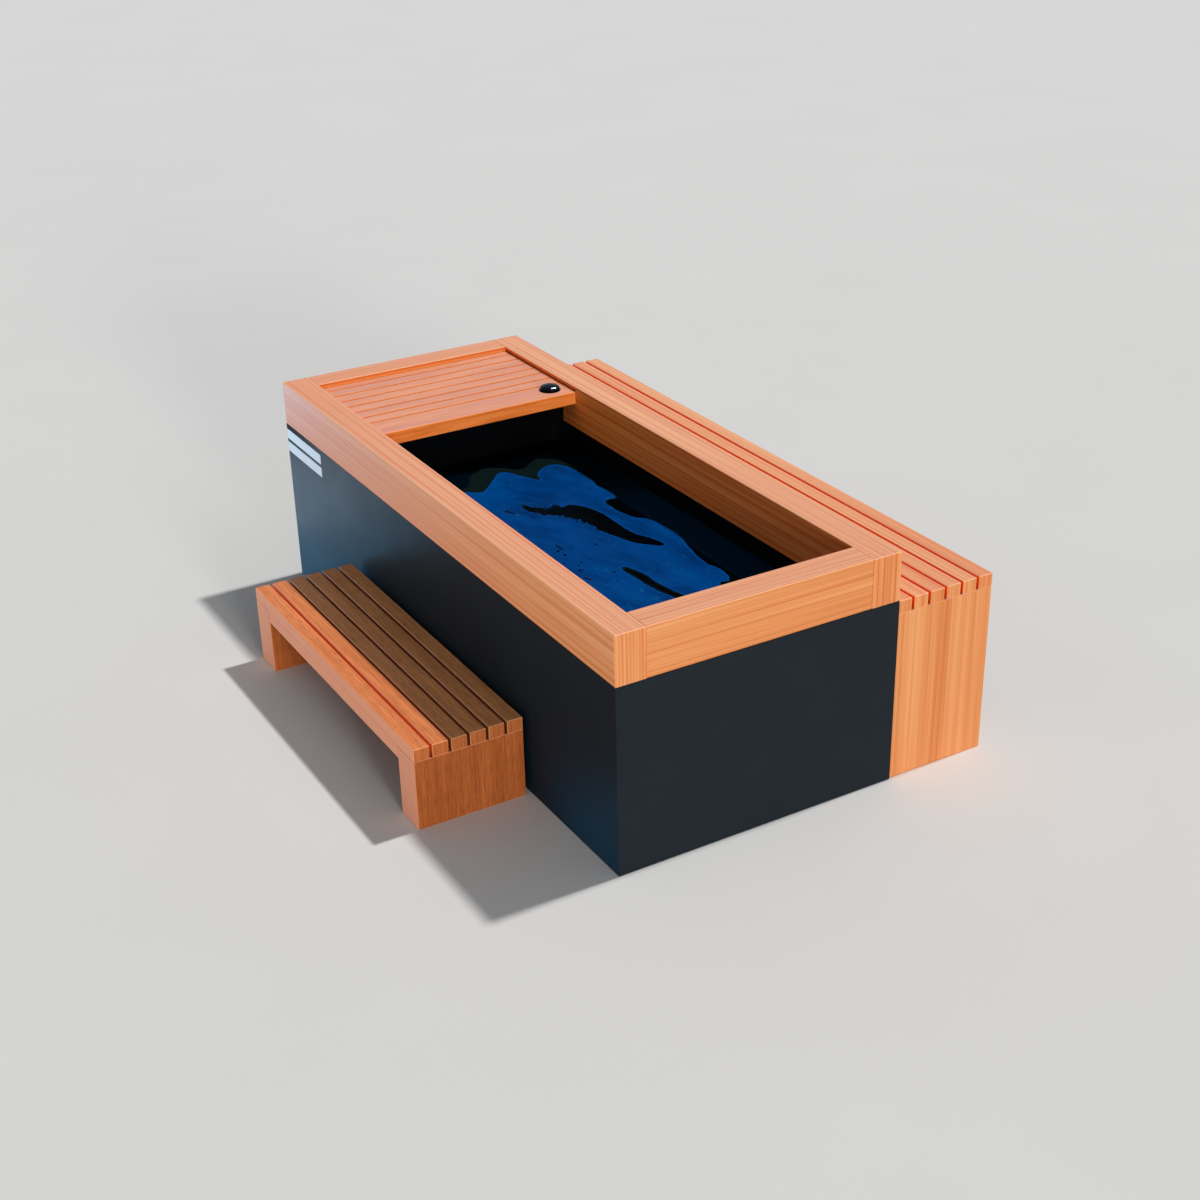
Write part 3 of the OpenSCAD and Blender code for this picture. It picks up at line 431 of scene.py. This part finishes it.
# The painted orange rim of light: its width along the far edge, and where it starts and is full at the
# boards' ends
far_rim = 0.001, 0.014
end_rim = 0.0045, 0.002
end_rim_share = 0.9
# How far below the lid's top a groove starts
groove_z = 0.0002
# The painted joint strips start this far from the far edge, and end this far past the nosing's back edge
joint_from = 0.012
joint_past = 0.0025
groove_past = 0.003


def lid_wood(name):
    """The lid's boards: pale and clouded on top, with painted orange light and shade in the joints, grooves
    and rim and on the fascia.
    """
    wood = Finish(name, specular=0.15)
    board = grain(wood, "y")
    cloud = fibres(wood, board, along=4, across=60, detail=3, roughness=0.6)
    streak = fibres(wood, board, along=9, across=260, layer=3, detail=3, roughness=0.7)
    patch = fibres(wood, board, along=2.2, across=26, layer=12)
    tone = blend(cloud, streak, share=0.55)
    colour = wood.mix(patch.rise(*patch_range) * cloud_depth, wood.ramp(tone, lid_tones), lid_cloud)
    x, y, z = wood.place()
    # Painted light: faces that look to the basin take a saturated orange in place of the pale tone
    to_basin = 0.6
    looks_in = wood.facing()[0] > to_basin
    colour = wood.mix(looks_in, colour, wood.ramp(tone, lid_lit_face_tones))
    # Painted light: a glow along the far edge and a highlight along the boards' ends
    far_edge = 1 - (x - lid_start).rise(*far_rim)
    board_ends = abs(y).rise(*[nosing_high.y - inset for inset in end_rim])
    colour = wood.mix(far_edge.most(board_ends * end_rim_share) * glow_rim_depth, colour, lid_painted_glow_rim)
    # Painted light: an orange strip on the tops beside each joint, standing in for the lit groove walls
    middle = lid_edge - lid_half_gap
    share = wood.node("ShaderNodeMath", {"operation": "FRACT"}, {0: (x - middle) / lid_pitch + 0.5})
    in_joint = joint_reach / lid_pitch > abs(share - 0.5)
    in_joint = in_joint * between(x, lid_start + joint_from, nosing_low.x + joint_past)
    colour = wood.mix(in_joint * joint_light_depth, colour, lid_joint_painted_light)
    # Painted shade: below the tops the grooves take a darker, saturated orange
    groove = (lid_top - groove_z > z) * (nosing_low.x + groove_past > x)
    colour = wood.mix(groove * groove_depth, colour, wood.mix(streak, *lid_groove_painted_shade))
    wood.set("Base Color", painted_edge_highlight(wood, colour, top=(0.88, 0.25, 0.045), low=(0.92, 0.27, 0.06), amount=0.9))
    wood.gloss(low=0.42, spread=0.16, pattern=streak)
    wood.bump(streak, distance=0.0002, strength=0.5)
    return wood.material


# Tones of the framing timber and of the foam
pine_tones = [(0.3, (0.42, 0.27, 0.13)), (0.55, (0.62, 0.44, 0.24)), (0.72, (0.70, 0.53, 0.31))]
foam_tones = [(0.0, (0.55, 0.45, 0.22)), (0.6, (0.78, 0.68, 0.42))]


def softwood(name, along):
    """Pale sawn framing timber."""
    wood = Finish(name, roughness=0.75, specular=0.3)
    rings = fibres(wood, grain(wood, along), along=1.5, across=90, detail=4, roughness=0.6)
    wood.set("Base Color", wood.ramp(rings, pine_tones))
    wood.bump(rings, distance=0.0005, strength=0.5)
    return wood.material


def moulded(name, colour, roughness=0.45, specular=0.5, grit=0.0001, mottle=0.12):
    """Plastic or paint: an even colour with faint cloudiness, a fine skin and a varying gloss."""
    skin = Finish(name, specular=specular)
    spot = skin.vector(*skin.place())
    cloud = skin.noise(spot, scale=7, detail=4, roughness=0.6)
    skin.set("Base Color", skin.mix(cloud, times(colour, 1 - mottle), times(colour, 1 + mottle)))
    cloudiness = 0.12
    skin.gloss(low=roughness - cloudiness / 2, spread=cloudiness, pattern=cloud)
    skin.bump(skin.noise(spot, scale=900), distance=grit, strength=0.6)
    return skin.material


def brushed(name, colour, roughness):
    """Brushed metal with fine lines along X and Y."""
    metal = Finish(name, metallic=1.0)
    x, y, z = metal.place()
    along, across = 40, 2500
    lines = metal.noise(metal.vector(x * along, y * along, z * across), detail=3)
    dull = times(colour, 0.85)
    metal.set("Base Color", metal.mix(lines, dull, colour))
    metal.gloss(low=roughness, spread=0.15, pattern=lines)
    metal.bump(lines, distance=0.0001, strength=0.4)
    return metal.material


def foamed(name):
    """Sprayed foam, cut flat: open cells and a yellowish cast."""
    foam = Finish(name, roughness=0.9, specular=0.2)
    cells = foam.node("ShaderNodeTexVoronoi", inputs={"Vector": foam.vector(*foam.place()), "Scale": 420})
    foam.set("Base Color", foam.ramp(cells, foam_tones))
    foam.bump(cells, distance=0.0006, strength=0.7)
    return foam.material


# Shapes of the painted reflections in the water: outlines as corner points in X and Y, rounded off before use
blue_shore = [
    (-0.32, -0.31), (-0.30, -0.12), (-0.265, -0.085), (-0.285, -0.06), (-0.33, -0.02), (-0.37, 0.02),
    (-0.35, 0.045), (-0.285, 0.07), (-0.25, 0.09), (-0.30, 0.10), (-0.34, 0.15), (-0.325, 0.19),
    (-0.25, 0.21), (-0.16, 0.205), (-0.145, 0.195), (-0.085, 0.21), (-0.035, 0.20), (-0.045, 0.175),
    (-0.03, 0.155), (0.04, 0.16), (0.10, 0.17), (0.125, 0.20), (0.21, 0.21), (0.255, 0.21), (0.33, 0.19),
    (0.42, 0.175), (0.465, 0.19), (0.54, 0.18), (0.53, 0.14), (0.62, 0.10), (0.72, 0.12), (0.78, 0.06),
    (0.95, 0.10), (0.95, -0.60), (-0.32, -0.60),
]
long_gap = [
    (-0.135, -0.035), (-0.10, 0.0), (-0.075, 0.015), (-0.095, 0.035), (-0.07, 0.06), (-0.07, 0.075),
    (-0.05, 0.095), (0.0, 0.115), (0.075, 0.12), (0.165, 0.115), (0.22, 0.14), (0.27, 0.155), (0.285, 0.14),
    (0.255, 0.115), (0.225, 0.09), (0.16, 0.07), (0.05, 0.045), (0.0, 0.028), (-0.03, 0.005),
    (-0.035, -0.01), (-0.085, -0.035), (-0.11, -0.04),
]
short_gap = [
    (0.325, -0.005), (0.345, 0.01), (0.395, 0.02), (0.455, 0.02), (0.54, 0.035), (0.61, 0.05), (0.61, 0.03),
    (0.54, 0.01), (0.48, -0.005), (0.38, -0.01), (0.355, -0.015),
]
dim_reflection_shore = [
    (-0.30, -0.31), (-0.31, -0.10), (-0.35, -0.08), (-0.39, -0.06), (-0.42, 0.0), (-0.39, 0.045),
    (-0.345, 0.08), (-0.375, 0.12), (-0.40, 0.155), (-0.375, 0.185), (-0.32, 0.215), (-0.25, 0.215),
    (-0.10, 0.0), (-0.20, -0.31),
]
# Small dark flecks: middle, half-length, half-width and slant
dark_flecks = [
    ((-0.110, -0.082), 0.018, 0.0045, 0.46),
    ((0.152, -0.081), 0.022, 0.0030, -0.05),
    ((0.200, -0.091), 0.007, 0.0030, 0.0),
    ((0.342, -0.110), 0.012, 0.0035, 0.2),
    ((0.184, 0.006), 0.007, 0.0030, 0.0),
    ((-0.130, -0.030), 0.012, 0.0030, 0.9),
]


def rounded(outline):
    """Cuts the corners of a closed outline once, at a quarter of each side."""
    points = []
    for (ax, ay), (bx, by) in zip(outline, outline[1:] + outline[:1]):
        for share in (0.25, 0.75):
            points.append((ax * (1 - share) + bx * share, ay * (1 - share) + by * share))
    return points


def depth_inside(x, y, outline):
    """How far a point lies inside a closed outline; below 0 outside."""
    nearest = 1.0
    inside = False
    for (ax, ay), (bx, by) in zip(outline, outline[1:] + outline[:1]):
        dx, dy = bx - ax, by - ay
        share = min(1.0, max(0.0, ((x - ax) * dx + (y - ay) * dy) / (dx * dx + dy * dy)))
        nearest = min(nearest, math.hypot(x - ax - share * dx, y - ay - share * dy))
        if (ay > y) != (by > y) and x < ax + (y - ay) / dy * dx:
            inside = not inside
    return nearest if inside else -nearest


def inside_ellipses(u, v, shapes):
    """Above 0 inside any of the ellipses, below 0 outside them all."""
    depth = None
    for (cx, cy), half_l, half_w, slant in shapes:
        du, dv = u - cx, v - cy
        run = (du * math.cos(slant) + dv * math.sin(slant)) / half_l
        off = (dv * math.cos(slant) - du * math.sin(slant)) / half_w
        here = 1 - run * run - off * off
        depth = here if depth is None else depth.most(here)
    return depth


# Tones of the water, painted reflections: lit blue from deep to bright, its threads and edge, and what lies
# in the shade
water_lit = [(0.35, (0.0002, 0.034, 0.160)), (0.52, (0.0003, 0.050, 0.228)), (0.68, (0.0004, 0.064, 0.280))]
water_thread_reflection = (0.003, 0.125, 0.30)
water_rim_reflection = (0.0012, 0.080, 0.36)
water_shade = (0.0002, 0.0012, 0.0022), (0.0004, 0.0040, 0.0085)
water_navy_in_shadow = (0.0012, 0.018, 0.042)
water_dim_reflection = (0.0045, 0.0120, 0.0125)
# Where the water's blue is torn and speckled, as low and high X and Y
torn_x, torn_y = (-0.12, 0.12), (-0.08, 0.06)
speck_x, speck_y = (0.16, 0.42), (-0.20, -0.03)
# How far the blue's edge sways, and how far it frays elsewhere and where it is torn, in metres
sway = 0.007
fray_anywhere, fray_torn = 0.004, 0.066
# The edges in metres of depth: from dark to blue, the painted bright rim inside, and the dim fringe of
# painted reflection outside
shore_range = -0.0008, 0.0012
bright_rim = 0.002, 0.007
dim_reflection_range = -0.002, 0.002
fringe_reach = 0.006
# Stretches of the fringe and of the navy reflection, painted paler where the back rail's shadow falls
far_fringe_x, near_fringe_x, near_fringe_y = (-0.16, 0.02), (0.32, 0.62), 0.05
navy_x, navy_y = (-0.25, 0.10), (0.195, 0.215)
# Painted reflection: the blue brightens towards the near end, by this much over this stretch in X
brighter = 0.05
brighter_x = 0.15, 0.45
# How deep the threads, the bright rim and the fringe show
thread_depth = 0.7
bright_depth = 0.7
fringe_depth = 0.6
# Where the patterns of the flecks, specks, threads and shade start and are full
fleck_range = -0.1, 0.1
speck_range = 0.650, 0.668
thread_range = 0.002, 0.006
threaded_range = 0.42, 0.54
shade_range = 0.4, 0.6


def water_finish():
    """Cold dark water, coloured with painted reflections: deep blue patches with wavy edges, black along the
    walls and under the lid.
    """
    water = Finish("water", roughness=0.08, specular=0.0008)
    x, y, _ = water.place()

    def pattern(u, v, layer, scale, **more):
        """Noise in the water's plane. Each layer is another slice of it."""
        return water.noise(water.vector(u, v, layer), scale=scale, **more)

    ripple = pattern(x, y, layer=0, scale=24) - 0.5
    fray = pattern(x, y, layer=6, scale=48, detail=3, roughness=0.65) - 0.5
    torn = between(x, *torn_x) * between(y, *torn_y)
    blue_depth = water.node("ShaderNodeAttribute", {"attribute_name": "blue_depth"}, output="Fac")
    dim_reflection_depth = water.node("ShaderNodeAttribute", {"attribute_name": "dim_reflection_depth"}, output="Fac")
    edge = blue_depth + ripple * sway + fray * (fray_anywhere + torn * fray_torn)
    wide_sway = 0.012
    dim_reflection = dim_reflection_depth + ripple * wide_sway
    fleck_fray = 1.5
    flecks = inside_ellipses(x, y + ripple * wide_sway, dark_flecks) + fray * fleck_fray
    specks = pattern(x * 1.6, y, layer=2, scale=46, roughness=0.6).rise(*speck_range)
    specks = specks * between(x, *speck_x) * between(y, *speck_y)
    blue = edge.rise(*shore_range) * (1 - flecks.rise(*fleck_range)) * (1 - specks)
    field = pattern(x, y * 1.2, layer=16, scale=9, roughness=0.55, distortion=1.2)
    thread = 1 - abs(field - 0.5).rise(*thread_range)
    threaded = pattern(x, y, layer=18, scale=6, detail=1).rise(*threaded_range)
    depth = pattern(x * 0.8 + y, y * 2.6 - x, layer=12, scale=5, detail=3)
    lit = water.ramp(depth + x.rise(*brighter_x) * brighter, water_lit)
    lit = water.mix(thread * threaded * thread_depth, lit, water_thread_reflection)
    lit = water.mix((1 - edge.rise(*bright_rim)) * bright_depth, lit, water_rim_reflection)
    shade = pattern(x, y, layer=30, scale=3)
    dark = water.mix(shade.rise(*shade_range), *water_shade)
    # Painted light: the navy is paler where the back rail's shadow falls on the water
    dark = water.mix(x.rise(*navy_x) * y.rise(*navy_y), dark, water_navy_in_shadow)
    dark = water.mix(dim_reflection.rise(*dim_reflection_range), dark, water_dim_reflection)
    fringe = between(x, *far_fringe_x).most(between(x, *near_fringe_x) * (near_fringe_y > y))
    dark = water.mix((edge > -fringe_reach) * fringe * fringe_depth, dark, water_dim_reflection)
    water.set("Base Color", water.mix(blue, dark, lit))
    water.bump(pattern(x, y, layer=1, scale=34, detail=3), distance=0.0012, strength=0.35)
    return water.material


# Finishes of the CAD nodes
bench_row = row("bench_slat", "bench_slat_6", axis=1)
step_row = row("step_slat", "step_slat_6", axis=1)
rail_x = cedar("cedar_along", "x")
bench_x = cedar("cedar_slats", "x", bench_row)
rail_y = cedar("cedar_across", "y")
cedar_upright = cedar("cedar_upright", "z")
step_x = teak("teak_along", "x", step_row, light=(0.82, 0.265, 0.095), dark=(0.62, 0.168, 0.048),
              fleck_depth=0.38, ends=((0.42, 0.108, 0.026), (0.60, 0.17, 0.048)),
              gap_painted_tone=(0.92, 0.190, 0.045))
# A copy of the teak for the slats in the tub's shadow, tinted as painted shade
step_shaded_copy = teak("teak_painted_shade", "x", step_row, light=(0.58, 0.245, 0.090), dark=(0.40, 0.155, 0.055),
                 fleck_depth=0.5, ends=((0.37, 0.092, 0.023), (0.52, 0.145, 0.040)),
                 gap_painted_tone=(0.26, 0.065, 0.016))
# Darker teak for the step's legs: painted shade, as their end faces take less light
step_upright_darkened = teak("teak_upright_painted_shade", "z", step_row, light=(0.47, 0.125, 0.029), dark=(0.33, 0.078, 0.016),
              fleck_depth=0.45)
lid_y = lid_wood("teak_across")
batten_x = softwood("batten_along", "x")
pine_x = softwood("pine_along", "x")
pine_z = softwood("pine_upright", "z")
pine_y = softwood("pine_across", "y")
panel_black = moulded("side_panel", (0.0175, 0.0232, 0.0295), specular=0.02, grit=0.00006)
liner_black = moulded("liner", (0.0012, 0.0016, 0.0022), roughness=0.35, specular=0.06, grit=0.00004)
dome_black = moulded("dome_black", (0.00002, 0.0002, 0.0006), roughness=0.11, specular=0.05, grit=0.00001)
rubber_grey = moulded("moulded_grey", (0.075, 0.08, 0.085), roughness=0.6)
motor_black = moulded("motor_black", (0.02, 0.02, 0.022), grit=0.0003)
case_grey = moulded("casing_grey", (0.34, 0.35, 0.36), roughness=0.4, grit=0.00015, mottle=0.05)
pipe_white = moulded("pipe_white", (0.74, 0.74, 0.71), roughness=0.35, mottle=0.05)
lever_red = moulded("lever_red", (0.50, 0.025, 0.015), roughness=0.35, mottle=0.1)
vinyl_white = moulded("vinyl_white", (0.72, 0.76, 0.78), roughness=0.5, mottle=0.03, grit=0.00003)
steel = brushed("steel", (0.62, 0.62, 0.60), roughness=0.3)
foam_finish = foamed("foam")
water_blue = water_finish()

dress = {
    rail_x: ["rim_front", "rim_back"],
    bench_x: [f"bench_slat_{k}" for k in range(1, 7)] + ["bench_rails"],
    rail_y: ["rim_near", "rim_far"],
    cedar_upright: ["bench_leg_near", "bench_leg_mid", "bench_leg_far"],
    step_x: ["step_slat_1", "step_slat_2", "step_rails"],
    step_shaded_copy: [f"step_slat_{k}" for k in range(3, 7)],
    step_upright_darkened: ["step_leg_near", "step_leg_far"],
    lid_y: ["lid_nosing"] + [f"lid_board_{k}" for k in range(1, 8)],
    batten_x: ["lid_battens", "lid_cleats"],
    pine_x: ["base_runners", "base_board"],
    pine_z: ["frame_posts"],
    pine_y: ["rim_dowels"],
    panel_black: ["panel_front", "panel_back", "panel_near", "panel_far"],
    liner_black: ["shell", "divider"],
    dome_black: ["button_dome", "button_housing"],
    rubber_grey: ["button_nut", "filter_housing", "power_gland"],
    motor_black: ["chiller_fan", "circulation_pump"],
    case_grey: ["chiller_casing"],
    pipe_white: ["filter_cap", "filter_cartridge", "pipework", "wall_fittings", "drain_fitting"],
    lever_red: ["drain_handle"],
    steel: ["chiller_grille", "drain_valve"],
    foam_finish: ["insulation"],
}
for finish, names in dress.items():
    for name in names:
        for slot in nodes[name].material_slots:
            slot.material = finish


def clear_selection():
    if bpy.context.mode != "OBJECT":
        bpy.ops.object.mode_set(mode="OBJECT")
    bpy.ops.object.select_all(action="DESELECT")


def settle(piece, finish, name):
    """Names a piece, gives it its finish and puts its place into its mesh."""
    clear_selection()
    piece.select_set(True)
    bpy.context.view_layer.objects.active = piece
    bpy.ops.object.transform_apply(location=True, rotation=True, scale=True)
    piece.name = name
    piece.data.name = name
    piece.data.materials.clear()
    piece.data.materials.append(finish)
    return piece


# The water's slab: the step of its grid, its thickness and the sharpest edge that is still smoothed
ripple_step = 0.006
slab_t = 0.012
smooth_angle = math.radians(40)
# Waves on its top: name, size and height
waves = [("swell", 0.16, 0.006), ("ripple", 0.045, 0.0022)]


def round_corners(water, centre, size_x, size_y):
    """Draws in the points beyond the basin's rounded corners. The outermost ones land on the arc."""
    inset_x, inset_y = size_x / 2 - basin_r, size_y / 2 - basin_r
    for vertex in water.data.vertices:
        dx = abs(vertex.co.x - centre.x) - inset_x
        dy = abs(vertex.co.y) - inset_y
        reach = math.hypot(dx, dy)
        if dx > 0 and dy > 0 and reach > basin_r:
            pull = max(dx, dy) / reach
            vertex.co.x = centre.x + math.copysign(inset_x + dx * pull, vertex.co.x - centre.x)
            vertex.co.y = math.copysign(inset_y + dy * pull, vertex.co.y)


def mark_depths(water, middle_z):
    """Stores on the water's top how deep each point lies inside the blue and the dim shapes of painted
    reflection.
    """
    shore, dim_reflection = rounded(blue_shore), rounded(dim_reflection_shore)
    gaps = [rounded(long_gap), rounded(short_gap)]
    blue_depth = water.data.attributes.new("blue_depth", "FLOAT", "POINT")
    dim_reflection_depth = water.data.attributes.new("dim_reflection_depth", "FLOAT", "POINT")
    for k, vertex in enumerate(water.data.vertices):
        x, y, z = vertex.co
        if z > middle_z:
            depth = depth_inside(x, y, shore)
            for gap in gaps:
                depth = min(depth, -depth_inside(x, y, gap))
            blue_depth.data[k].value = depth
            dim_reflection_depth.data[k].value = depth_inside(x, y, dim_reflection)


def make_water():
    """The water: a thin slab that fills the basin's rounded outline, with a rippled top."""
    size_x = basin_x1 - basin_x0
    size_y = 2 * basin_y
    middle_z = water_z - slab_t / 2
    centre = Vector(((basin_x0 + basin_x1) / 2, 0, water_z))
    clear_selection()
    bpy.ops.mesh.primitive_grid_add(x_subdivisions=round(size_x / ripple_step),
                                    y_subdivisions=round(size_y / ripple_step), size=1, location=centre)
    water = bpy.context.object
    water.scale = (size_x, size_y, 1)
    bpy.ops.object.transform_apply(location=True, scale=True)
    round_corners(water, centre, size_x, size_y)
    bpy.ops.object.mode_set(mode="EDIT")
    bpy.ops.mesh.select_all(action="SELECT")
    bpy.ops.mesh.extrude_region_move(TRANSFORM_OT_translate={"value": (0, 0, -slab_t)})
    bpy.ops.mesh.select_all(action="SELECT")
    bpy.ops.mesh.normals_make_consistent(inside=False)
    bpy.ops.object.mode_set(mode="OBJECT")
    top = water.vertex_groups.new(name="top")
    top.add([vertex.index for vertex in water.data.vertices if vertex.co.z > middle_z], 1.0, "REPLACE")
    for name, size, height in waves:
        pattern = bpy.data.textures.new(name, "CLOUDS")
        pattern.noise_scale = size
        pattern.noise_depth = 1
        wave = water.modifiers.new(name, "DISPLACE")
        wave.texture = pattern
        wave.vertex_group = "top"
        wave.strength = height
        wave.direction = "Z"
        wave.texture_coords = "LOCAL"
        bpy.ops.object.modifier_apply(modifier=name)
    bpy.ops.object.shade_smooth_by_angle(angle=smooth_angle)
    water.vertex_groups.clear()
    mark_depths(water, middle_z)
    return settle(water, water_blue, "water_surface")


# Plain vinyl bars at the front panel's far top corner: sizes, and how far they keep from its edges
bar_l = 0.245
bar_h = 0.029
bar_pitch = 0.0385
bar_count = 2
bar_drop = 0.015
bar_inset = 0.0015
film_t = 0.0004
bar_corner = 0.002
corner_steps = 5


def make_bar(name, low, high):
    """A flat vinyl bar with small round corners on the front panel."""
    size = high - low
    clear_selection()
    bpy.ops.mesh.primitive_cube_add(size=1, location=(low + high) / 2)
    bar = bpy.context.object
    bar.scale = (size.x, film_t, size.z)
    bpy.ops.object.transform_apply(location=True, scale=True)
    bpy.ops.object.mode_set(mode="EDIT")
    bpy.ops.mesh.select_mode(type="EDGE")
    bpy.ops.mesh.select_all(action="DESELECT")
    bpy.ops.object.mode_set(mode="OBJECT")
    for edge in bar.data.edges:
        a, b = [bar.data.vertices[k].co for k in edge.vertices]
        edge.select = abs(a.x - b.x) < film_t / 2 and abs(a.z - b.z) < film_t / 2
    bpy.ops.object.mode_set(mode="EDIT")
    bpy.ops.mesh.bevel(offset=bar_corner, segments=corner_steps)
    bpy.ops.object.mode_set(mode="OBJECT")
    return settle(bar, vinyl_white, name)


water = make_water()
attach(water, "root")

for k in range(bar_count):
    foot = panel_high.z - bar_drop - k * bar_pitch - bar_h
    corner = Vector((panel_low.x + bar_inset, panel_low.y - film_t / 2, foot))
    bar = make_bar(f"panel_bar_{k + 1}", corner, corner + Vector((bar_l, 0, bar_h)))
    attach(bar, "root")

# The camera, as fitted to the photograph's edges
camera_at = Vector((3.77178, -2.04267, 2.33664))
azimuth = math.radians(60.174)
elevation = math.radians(26.588)
roll = math.radians(-1.362)
frame_px = 1200
focal_px = 1816.31
sensor = 36.0
view_limit = 100


def make_camera():
    data = bpy.data.cameras.new("camera")
    data.sensor_fit = "HORIZONTAL"
    data.sensor_width = sensor
    data.lens = focal_px / frame_px * sensor
    data.clip_end = view_limit
    camera = bpy.data.objects.new("camera", data)
    bpy.context.scene.collection.objects.link(camera)
    forward = Vector((-math.sin(azimuth) * math.cos(elevation), math.cos(azimuth) * math.cos(elevation),
                      -math.sin(elevation)))
    level = Vector((math.cos(azimuth), math.sin(azimuth), 0))
    upright = level.cross(forward)
    right = level * math.cos(roll) + upright * math.sin(roll)
    up = upright * math.cos(roll) - level * math.sin(roll)
    turn = camera.matrix_world.to_3x3()
    for k, column in enumerate((right, up, -forward)):
        turn.col[k] = column
    camera.matrix_world = turn.to_4x4()
    camera.location = camera_at
    bpy.context.scene.camera = camera


def place_light(name, lamp, direction):
    """Adds a lamp that shines in a direction."""
    light = bpy.data.objects.new(name, lamp)
    bpy.context.scene.collection.objects.link(light)
    light.rotation_euler = direction.to_track_quat("-Z", "Y").to_euler()
    return light


def area_light(name, at, towards, size, power, colour):
    lamp = bpy.data.lights.new(name, "AREA")
    lamp.shape = "RECTANGLE"
    lamp.size, lamp.size_y = size
    lamp.energy = power
    lamp.color = colour
    light = place_light(name, lamp, Vector(towards) - Vector(at))
    light.location = at
    light.visible_camera = False
    return light


def far_light(name, source, strength, spread, colour):
    lamp = bpy.data.lights.new(name, "SUN")
    lamp.energy = strength
    lamp.angle = math.radians(spread)
    lamp.color = colour
    place_light(name, lamp, -Vector(source))


def linked_things(name, things, state):
    """A collection that light linking reads: these things alone, or all but these."""
    linked = bpy.data.collections.new(name)
    for thing in things:
        linked.objects.link(thing)
    for entry in linked.collection_objects:
        entry.light_linking.link_state = state
    return linked


def make_lights():
    floor = bpy.data.objects["floor"]
    panel = nodes["panel_front"]
    far_light("key", source=(0.0, 0.54, 1.0), strength=2.16, spread=3, colour=(1.0, 0.98, 0.95))
    far_light("near_fill", source=(1.0, -0.10, 0.16), strength=1.66, spread=12, colour=(1.0, 0.97, 0.92))
    front = area_light("front_fill", at=(0.4, -4.6, 0.26), towards=(0.1, 0, 0.40), size=(4.0, 0.42), power=52,
                       colour=(0.92, 0.96, 1.0))
    sheen = area_light("far_sheen", at=(-2.5, -1.05, 0.30), towards=(-0.8, -0.40, 0.42), size=(0.8, 0.6),
                       power=19, colour=(0.20, 0.56, 1.0))
    for light in (front, sheen):
        spared = linked_things(light.name + "_spared", [floor, panel], "EXCLUDE")
        light.light_linking.receiver_collection = spared
    # The front panel's blue sheen: grey-blue above and deeper below, where it shines through the floor
    glows = []
    for name, height, power, colour in [("panel_sheen", 0.10, 2.3, (0.52, 0.75, 1.0)),
                                        ("panel_deep", -0.17, 1.5, (0.15, 0.56, 1.0))]:
        glow = area_light(name, at=(-1.26, -0.60, height), towards=(-0.7, -0.376, height + 0.10),
                          size=(0.44, 0.26), power=power, colour=colour)
        glow.light_linking.blocker_collection = linked_things(name + "_passes", [floor], "EXCLUDE")
        glows.append(glow)
    glows.append(area_light("panel_low_glow", at=(0.84, -0.56, 0.04), towards=(0.86, -0.376, 0.02),
                            size=(0.30, 0.05), power=0.42, colour=(0.0, 0.55, 0.95)))
    for light in glows:
        light.light_linking.receiver_collection = linked_things(light.name + "_things", [panel], "INCLUDE")
    dome_low, dome_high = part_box("button_dome")
    dome = (dome_low + dome_high) / 2
    glint = area_light("dome_glint", at=dome + Vector((0, 0.85, 1.58)), towards=dome, size=(0.75, 0.95),
                       power=1100, colour=(1.0, 1.0, 1.0))
    dome_alone = linked_things("dome_glint_things", [nodes["button_dome"]], "INCLUDE")
    glint.light_linking.receiver_collection = dome_alone


# The surroundings: their colour, their strength as light, and as the camera and reflections see them
sky_colour = (0.90, 0.96, 1.0)
sky_light = 0.24
sky_seen = 1.0


def make_world():
    """Even pale surroundings: white to the camera and in reflections, softer as light."""
    world = bpy.data.worlds.new("studio")
    bpy.context.scene.world = world
    world.use_nodes = True
    tree = world.node_tree
    back = tree.nodes["Background"]
    path = tree.nodes.new("ShaderNodeLightPath")
    seen = tree.nodes.new("ShaderNodeMath")
    seen.operation = "MAXIMUM"
    tree.links.new(path.outputs["Is Camera Ray"], seen.inputs[0])
    tree.links.new(path.outputs["Is Glossy Ray"], seen.inputs[1])
    strength = tree.nodes.new("ShaderNodeMapRange")
    strength.inputs["To Min"].default_value = sky_light
    strength.inputs["To Max"].default_value = sky_seen
    tree.links.new(seen.outputs[0], strength.inputs["Value"])
    tree.links.new(strength.outputs[0], back.inputs["Strength"])
    back.inputs["Color"].default_value = rgb(sky_colour)


floor_size = 60
floor_greys = (0.70, 0.70, 0.70), (0.74, 0.74, 0.74)


def make_floor():
    clear_selection()
    bpy.ops.mesh.primitive_plane_add(size=floor_size, location=(0, 0, 0))
    floor = bpy.context.object
    paint = Finish("floor_paint", roughness=0.75, specular=0.2)
    cloud = paint.noise(paint.vector(*paint.place()), scale=1.5, detail=3)
    paint.set("Base Color", paint.mix(cloud, *floor_greys))
    settle(floor, paint.material, "floor")


make_camera()
make_floor()
make_lights()
make_world()
bpy.context.scene.view_settings.view_transform = "Standard"
